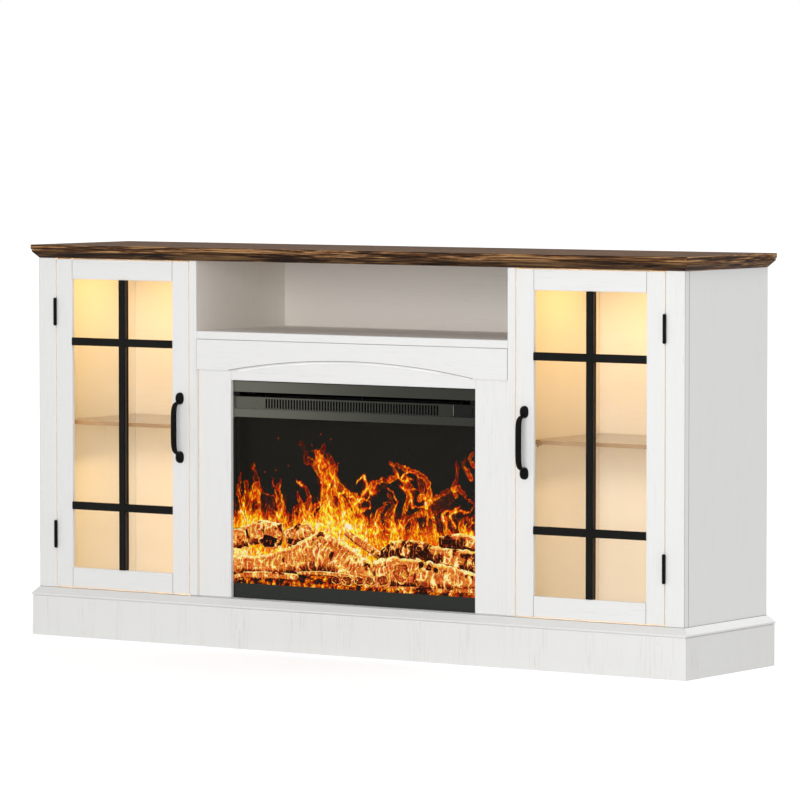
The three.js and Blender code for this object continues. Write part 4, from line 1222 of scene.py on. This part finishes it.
def bark_heat(along_log, around, upness, char, crack):
    """0.47 + blotches + fibres + a painted highlight on top, all cut down where charred and
    by painted shade underneath, then + cracks across."""
    blotch = (smooth_noise(along_log / 17, around / 11, 21)
              + 0.5 * smooth_noise(along_log / 7, around / 5, 22))
    wander = along_log + 3 * smooth_noise(along_log / 9, around / 9, 23)
    sideways = around / 2.3 + 2 * smooth_noise(along_log / 20, around / 8, 24)
    fibres = ridges(wander / 30, sideways, 25, 3)
    cracks = (ridges(wander / 6.2, (around + 40) / 21, 26, 15)
              + 0.5 * ridges(wander / 13, around / 9, 27, 18))
    charred = np.clip((blotch - 0.9 + 1.7 * char) * 2.2, 0, 1)
    top = np.clip((upness - 0.74) / 0.2, 0, 1)
    under = np.clip((-upness - 0.35) / 0.5, 0, 1)
    heat = 0.47 + 0.075 * blotch + 0.11 * (fibres - 0.4) + 0.4 * top
    heat = heat * (1 - 0.85 * charred) * (1 - 0.9 * under) + crack * cracks
    return np.clip(heat, 0, 1.05)


def log_piece(name, depth, flat, seed, char, crack, *knots):
    """A log: knots are x, z and radius in turn. Radius times 1 + bark, where bark is smooth
    noise of the length and of the angle's cosine and sine, so that it meets itself, and nine
    low ribs that wind along it."""
    path = through(np.reshape(knots, (-1, 3)).astype(float), steps=64)
    line = np.gradient(path[:, :2], axis=0)
    line /= np.hypot(line[:, :1], line[:, 1:])
    side = np.stack([-line[:, 1], line[:, 0]], axis=-1)
    steps = np.hypot(*np.diff(path[:, :2], axis=0).T)
    length = np.concatenate([[0], np.cumsum(steps)])[:, None]
    angle = np.pi / 2 + turn_angles(72)
    round_x, round_z = 3.4 * np.cos(angle), 3.4 * np.sin(angle) + seed * 9.1
    bark = (0.1 * smooth_noise(length / 14 + round_x, round_z, seed)
            + 0.06 * smooth_noise(length / 5 + 2 * round_x, 2 * round_z, seed + 1)
            + 0.035 * np.sin(9 * angle + 0.06 * length + seed))
    to_end = np.minimum(length, length[-1] - length)
    radius = path[:, 2:] * (1 + bark) * (0.3 + 0.7 * np.clip(to_end / 2.5, 0, 1) ** 0.5)
    x = path[:, :1] + side[:, :1] * radius * np.cos(angle)
    z = path[:, 1:2] + side[:, 1:] * radius * np.cos(angle)
    y = depth + flat * radius * np.sin(angle)
    around = (angle - 1.5 * np.pi) * path[:, 2:] * 0.8
    heat = bark_heat(length + 50 * seed, around, side[:, 1:] * np.cos(angle), char, crack)
    hubs = place(path[[0, -1], 0], depth, path[[0, -1], 1])
    points, faces = capped(place(x, y, z), hubs, turn_over=False)
    return new_piece(name, points, faces, log_skin, "cabinet",
                     np.append(heat, [0.2, 0.2]))


# depth, flatness, seed, char and crack shares, then x, z and radius of each knot in mm
LOGS = {
    "log_back_left": (46.5, 0.26, 3, 0.36, 0.7, -284, 224, 20, -250, 234, 24, -196, 232, 22),
    "log_back_middle": (47, 0.3, 4, 0.34, 0.7, -188, 222, 17, -150, 236, 19, -122, 240, 17),
    "log_far_right": (47.5, 0.34, 8, 0.55, 0.6, 186, 233, 12, 236, 238, 15, 286, 232, 14),
    "log_charred": (44, 0.26, 6, 0.62, 0.75, 40, 190, 12, 74, 204, 22, 116, 214, 23,
                    180, 204, 22, 286, 196, 24),
    "log_front_left": (40.5, 0.27, 1, 0.1, 0.55, -287, 166, 17, -240, 168, 20, -182, 176, 26,
                       -140, 188, 32, -100, 200, 40),
    "log_middle": (40, 0.26, 2, 0.28, 0.75, -118, 202, 38, -80, 196, 40, -20, 176, 33,
                   40, 152, 20),
    "log_branch": (35.5, 0.6, 5, 0.1, 0.6, -34, 246, 6, 4, 226, 8, 50, 202, 7),
    "log_front_right": (38, 0.3, 7, 0.16, 0.7, 34, 166, 24, 90, 170, 30, 160, 166, 29,
                        230, 162, 24, 286, 158, 16),
    "log_twig": (32.5, 0.6, 9, 0.0, 0.4, -150, 156, 3.5, -90, 159, 4.5, -16, 157, 4),
    "log_low_left": (36, 0.5, 10, 0.3, 0.5, -286, 146, 7, -220, 148, 8, -150, 147, 7),
    "log_low_right": (36, 0.5, 11, 0.35, 0.4, 36, 141, 6, 120, 138, 7, 286, 142, 7),
}
log_pieces = [log_piece(name, *numbers) for name, numbers in LOGS.items()]
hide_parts("log_set")
print("logs", len(log_pieces))

# %% [markdown]
# ### The fire's sides
#
# Seen from one side, the flames have to reach the surround's edge. Strips down each side of the
# firebox carry them on: each point takes the heat that a sight line of the product picture
# would meet on the screen's plane. Above, the strips show flames, and below, bands of bark.


# %% The fire's sides
SIGHT_SLOPE = 0.681  # the tangent of the camera's bearing
STRIP_FOOT, STRIP_SPLIT, STRIP_TOP, STRIP_STEP = 131.9, 243.2, 470, 1.59
CORNER_X, WALL_X, CORNER_DEPTH = 293.9, 287.4, 24.45


def carried_logs(carried, height):
    """Yellow fire, and before it three bands of bark that stand for the logs: in each, the
    height from its middle over its radius says how far up the log a point is."""
    heat = (0.72 + 0.3 * ridges(carried / 6, height / 9, 52, 5)
            + 0.16 * smooth_noise(carried / 9, height / 12, 51))
    heat = np.where(height < 138, 0.5 * ridges(carried / 7, height / 4, 56, 4), heat)
    wander = 2.5 * smooth_noise(carried / 11, height / 60, 53)
    for middle, radius, char in ((146, 8, 0.3), (167, 17.5, 0.1), (223, 21, 0.35)):
        rise = (height + wander - middle) / radius
        bark = bark_heat(carried + 9 * middle, height - middle, rise, char, 0.6)
        heat = np.where(np.abs(rise) < 1, bark, heat)
    return heat


def flame_strip(x, depth, carried, side, z, heat_at):
    """An upright strip along a plan line, with the heat that the screen has at the carried x."""
    carried, height = np.meshgrid(carried, z, indexing="ij")
    faces = grid_faces(*carried.shape)
    return (place(x[:, None], depth[:, None], height), faces[:, ::-1] if side > 0 else faces,
            heat_at(carried, height))


def flame_return(side):
    """The plan line down each side of the firebox: from the glass round the corner and back to
    the screen, with the x at which a sight line at the camera's bearing would meet the
    screen's plane."""
    share, turn = np.linspace(0, 1, 44), 0.17
    out = np.where(share < turn, CORNER_X - (CORNER_X - WALL_X) * share / turn, WALL_X)
    run = np.clip((share - turn) / (1 - turn), 0, 1)
    depth = CORNER_DEPTH + (flame_depth - CORNER_DEPTH - 0.15) * run
    return side * out, depth, side * (out + (screen_low[1] - depth) * SIGHT_SLOPE), side


def flame_edge(side):
    """The plan line of the foil over the frame's narrow upright and round into its jamb, which
    carries the flames on to the surround's edge."""
    out = np.array([296.9, 295.9, 294.8, 293.7, 293.7, 293.7, 293.9, 293.9])
    depth = np.array([15.85, 15.85, 15.85, 15.85, 18.0, 20.15, 20.3, 24.4])
    return side * out, depth, side * out - (screen_low[1] - depth) * SIGHT_SLOPE, side


low_z = np.arange(STRIP_FOOT, STRIP_SPLIT, STRIP_STEP)
high_z = np.arange(STRIP_SPLIT, STRIP_TOP, STRIP_STEP)
for hand, side in HANDS:
    for part, line in (("return", flame_return(side)), ("edge", flame_edge(side))):
        for name, z, heat_at, skin in (("flame", high_z, flame_heat, flame_light),
                                       ("bark", low_z, carried_logs, log_skin)):
            points, faces, heat = flame_strip(*line, z, heat_at)
            new_piece(f"{hand}_{name}_{part}", points, [faces], skin, "cabinet",
                      heat)
print("strip points", points.shape)

# %% [markdown]
# ### Cut ends
#
# Some branches point at the viewer and show a sawn end: a bright burnt rim round growth
# rings. Each is a disc of rings whose middle dips, a small dish turned towards the glass.


# %% Cut ends
def cut_end(name, x, z, radius, depth, seed, dark, squash):
    """A dish: out to the rim at 0.86 of the radius it bulges forward, then folds back. Its heat
    is highest at the rim and follows growth rings inside, cos(18 x share of the radius)."""
    share = np.linspace(0.02, 1, 26)[:, None]
    angle = turn_angles(56)
    round_x, round_z = np.cos(angle), np.sin(angle)
    wobble = 1 + 0.26 * smooth_noise(2.3 * round_x + seed, 2.3 * round_z, 31)
    broken = 0.7 + 0.5 * smooth_noise(4 * round_x + 2 * seed, 4 * round_z, 34)
    rim = np.exp(-((share - 0.86) / 0.07) ** 2) * broken
    out = radius * share * wobble
    forward = 2.4 * rim - 56 * np.clip(share - 0.9, 0, 1)
    px, pz = x + out * round_x, z + squash * out * round_z
    split = ridges(px / 5, pz / 9, 33 + seed, 12)
    growth = 0.06 * np.cos(18 * share + 2 * smooth_noise(px / 6, pz / 6, 32))
    groove = np.exp(-((share - 0.7) / 0.07) ** 2)
    heat = (0.46 + growth + 0.4 * split) * (1 - dark * (share < 0.78)) * (1 - 0.45 * groove)
    heat = (heat + (0.38 - 0.3 * dark) * rim) * (1 - 0.8 * (share > 0.97))
    points = place(px, depth - forward, pz).reshape(-1, 3)
    faces = [grid_faces(*px.shape, True)[:, ::-1], fan(px.size, 0, px.shape[1])[:, ::-1]]
    return new_piece(name, np.concatenate([points, place(x, depth, z)[None]]), faces, log_skin,
                     "cabinet", np.append(heat, 0.5 - 0.4 * dark))


# x, z, radius and depth in mm, how dark, and height over width
CUT_ENDS = (
    (107, 169, 26, 28.6, 0.1, 0.82), (63, 152, 16, 29.4, 0.3, 0.7), (32, 149, 14, 30, 0.3, 0.72),
    (4, 149, 13, 30, 0.45, 0.75), (-26, 148, 15, 30, 0.35, 0.7), (-52, 148, 12, 30.4, 0.5, 0.7),
    (-224, 219, 26, 39.2, 0.93, 0.56), (-172, 221, 9, 41, 0.93, 0.9),
    (155, 189, 7.5, 29.6, 0.8, 1.2), (174, 185, 9, 29.4, 0.8, 1.0), (190.5, 180, 8.5, 30, 0.8, 0.9),
)
for number, (x, z, radius, depth, dark, squash) in enumerate(CUT_ENDS, 1):
    cut_end(f"cut_end_{number}", x, z, radius, depth, number, dark, squash)
print("cut ends", len(CUT_ENDS))

# %% [markdown]
# ### The ember bed
#
# Under the logs lies one moulded bed: a slope that rises from the glass to the screen,
# covered in rounded coals. Each coal is a dome round one of many scattered points, and a
# point of the bed takes the height of the nearest, as pebbles do.


# %% The ember bed
BED_HALF, COAL_WIDE, COAL_DEEP = 286.5, 11, 9


def ember_bed():
    """A slope from front to back: height = rise of the slope + a dome for the nearest coal."""
    x = np.linspace(-BED_HALF, BED_HALF, 420)[:, None]
    run = np.linspace(0, 1, 64)[None, :]
    depth = 28.2 + 24.5 * run
    height = 103 + 28 * np.clip(run * 4, 0, 1) + 62 * np.clip(run - 0.25, 0, 1) ** 0.8
    flat = run * 80
    nearest = 9 + 0 * x * run
    for step_x in (-1, 0, 1):
        for step_z in (-1, 0, 1):
            i, j = np.floor(x / COAL_WIDE) + step_x, np.floor(flat / COAL_DEEP) + step_z
            coal_x = (i + 0.5 + 0.8 * (lattice(i, j, 11) - 0.5)) * COAL_WIDE
            coal_z = (j + 0.5 + 0.8 * (lattice(i, j, 12) - 0.5)) * COAL_DEEP
            away = np.hypot((x - coal_x) / 6.2, (flat - coal_z) / 5.4)
            nearest = np.minimum(nearest, away)
    dome = np.sqrt(np.clip(1 - nearest ** 2, 0, 1))
    z = height + 4.4 * dome
    y = np.clip(depth - 2.7 * dome, 27.8, 53.4)
    glow = (0.42 * ridges(x / 9, z / 7, 41, 3) + 0.3 * dome - 0.1
            + 0.36 * smooth_noise(x / 14, flat / 9, 14))
    glow = glow + 0.1 * np.exp(-((z - 133) / 3.5) ** 2)
    return place(x, y, z), np.clip(glow, 0.02, 1)


bed, bed_heat = ember_bed()
coal_skin = glowing("coal_skin", (300, 300, 500), 0.5, FLAME_COLORS, relief=0.001)
new_piece("ember_bed", bed, [grid_faces(*bed_heat.shape)], coal_skin, "cabinet",
          bed_heat)
print("ember bed", bed_heat.shape)

# %% [markdown]
# ## Light
#
# One large soft lamp stands in front, to the right of the middle, so the front is brighter
# than the right side and fades a little towards the left. The world gives the rest. Seen
# directly or in a mirror the world is pure white, which is the picture's backdrop. Warm
# lamps stand in for the light strips' own light in each compartment, and thin ones for what
# leaks through the gaps round the doors.


# %% Light
def lamp(name, where, aim, size, power, color=(1, 1, 1)):
    """An area lamp that neither the camera nor a mirror sees: its size is the side of a square
    or a width and a height, in metres."""
    data = bpy.data.lights.new(name, "AREA")
    data.energy, data.color = power, color
    if isinstance(size, tuple):
        data.shape = "RECTANGLE"
        data.size, data.size_y = size
    else:
        data.size = size
    made = bpy.data.objects.new(name, data)
    made.location = where
    made.rotation_mode = "QUATERNION"
    made.rotation_quaternion = (Vector(aim) - Vector(where)).to_track_quat("-Z", "Y")
    made.visible_camera = made.visible_glossy = False
    scene.collection.objects.link(made)


lamp("key_lamp", (1.6, -5.2, 1.35), (0.1, 0, 0.4), 2.2, 107.5)
lamp("rim_lamp", (2.1, 2.8, 4.2), (0.5, 0, 0.3), 1.6, 53)
CELL_X, GAP_X, GAP_WIDE = 0.5825, 0.5685, 0.0012
WARM, AMBER = (1.0, 0.6, 0.18), (1.0, 0.5, 0.13)
# powers of the low and the fill lamp, and their colour
LOW_LAMPS = {"left": (0.25, 0.22, (1.0, 0.66, 0.28)), "right": (0.16, 0.15, (1.0, 0.73, 0.4))}
# the gaps round a door: x, z, size, power and colour
GAP_LAMPS = {
    "hinge": (0.7395, 0.443, (GAP_WIDE, 0.68), 0.022, WARM),
    "lock": (0.3977, 0.443, (GAP_WIDE, 0.68), 0.022, WARM),
    "top": (GAP_X, 0.7850, (0.338, GAP_WIDE), 0.07, AMBER),
    "bottom": (GAP_X, 0.1024, (0.338, GAP_WIDE), 0.04, AMBER),
}
for hand, side in HANDS:
    x = side * CELL_X
    low_power, fill_power, color = LOW_LAMPS[hand]
    lamp(f"strip_light_{hand}", (x, 0.0, 0.772), (x, 0.0, 0.3), (0.3, 0.2), 0.75, WARM)
    lamp(f"low_light_{hand}", (x, -0.01, 0.37), (x, 0.0, 0.1), (0.3, 0.2), low_power, color)
    lamp(f"fill_light_{hand}", (x, -0.118, 0.44), (x, 0.5, 0.44), (0.3, 0.5), fill_power, color)
    for gap, (gap_x, z, size, power, color) in GAP_LAMPS.items():
        x = side * gap_x
        lamp(f"{hand}_{gap}_gap_light", (x, -0.139, z), (x, -1.0, z), size, power, color)
print("lamps", len(bpy.data.lights))

# %% [markdown]
# ### The world
#
# Camera rays, mirror rays and rays through glass see a pure white. All others get a dimmer
# white, which is the fill light of the picture.

# %% The world
world = bpy.data.worlds.new("studio")
scene.world = world
world.use_nodes = True
world.node_tree.nodes.clear()


def world_node(kind, *sources):
    """A node of the world, its first inputs joined to the sources."""
    made = world.node_tree.nodes.new("ShaderNode" + kind)
    for socket, source in zip(made.inputs, sources):
        world.node_tree.links.new(source, socket)
    return made


def white(strength):
    """A white background of a strength."""
    made = world_node("Background")
    made.inputs["Color"].default_value = (1, 1, 1, 1)
    made.inputs["Strength"].default_value = strength
    return made.outputs[0]


def either(a, b):
    """True where either ray kind holds, as a sum clamped to one."""
    made = world_node("Math", a, b)
    made.operation, made.use_clamp = "ADD", True
    return made.outputs[0]


ray = world_node("LightPath").outputs
shown = either(either(ray["Is Camera Ray"], ray["Is Glossy Ray"]), ray["Is Transmission Ray"])
mixed = world_node("MixShader", shown, white(0.588), white(1.0))
world_node("OutputWorld", mixed.outputs[0])
print("world nodes", len(world.node_tree.nodes))


# %% [markdown]
# ### The floor
#
# The floor is stage dressing, so it isn't part of the object. It gives off its own white, more
# of it far away, and only to the camera, so that it runs into the backdrop.


# %% Floor
def studio_floor(reach=60):
    """A square that reaches so many metres each way."""
    finish = Finish("studio_floor", srgb(240, 240, 240), 1.0, Specular_IOR_Level=0.0)
    away = finish.node("VectorMath", Vector=finish.place)
    away.operation = "LENGTH"
    lift = finish.curve(away.outputs["Value"], 0.8, 2.6, 0.445, 0.6)
    to_camera = finish.node("LightPath").outputs["Is Camera Ray"]
    finish.glow((1, 1, 1, 1), finish.math("MULTIPLY", to_camera, lift))
    mesh = bpy.data.meshes.new("studio_floor")
    corners = [(reach * x, reach * y, 0) for x, y in ((-1, -1), (1, -1), (1, 1), (-1, 1))]
    mesh.from_pydata(corners, [], [(0, 1, 2, 3)])
    mesh.materials.append(finish.material)
    floor = bpy.data.objects.new("studio_floor", mesh)
    scene.collection.objects.link(floor)
    floor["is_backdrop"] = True
    return floor


print("floor", studio_floor().name)

# %% [markdown]
# ## The end
#
# The size of the dressed model is printed.

# %% The end
low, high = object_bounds()
print("visual box", tuple(low), tuple(high))
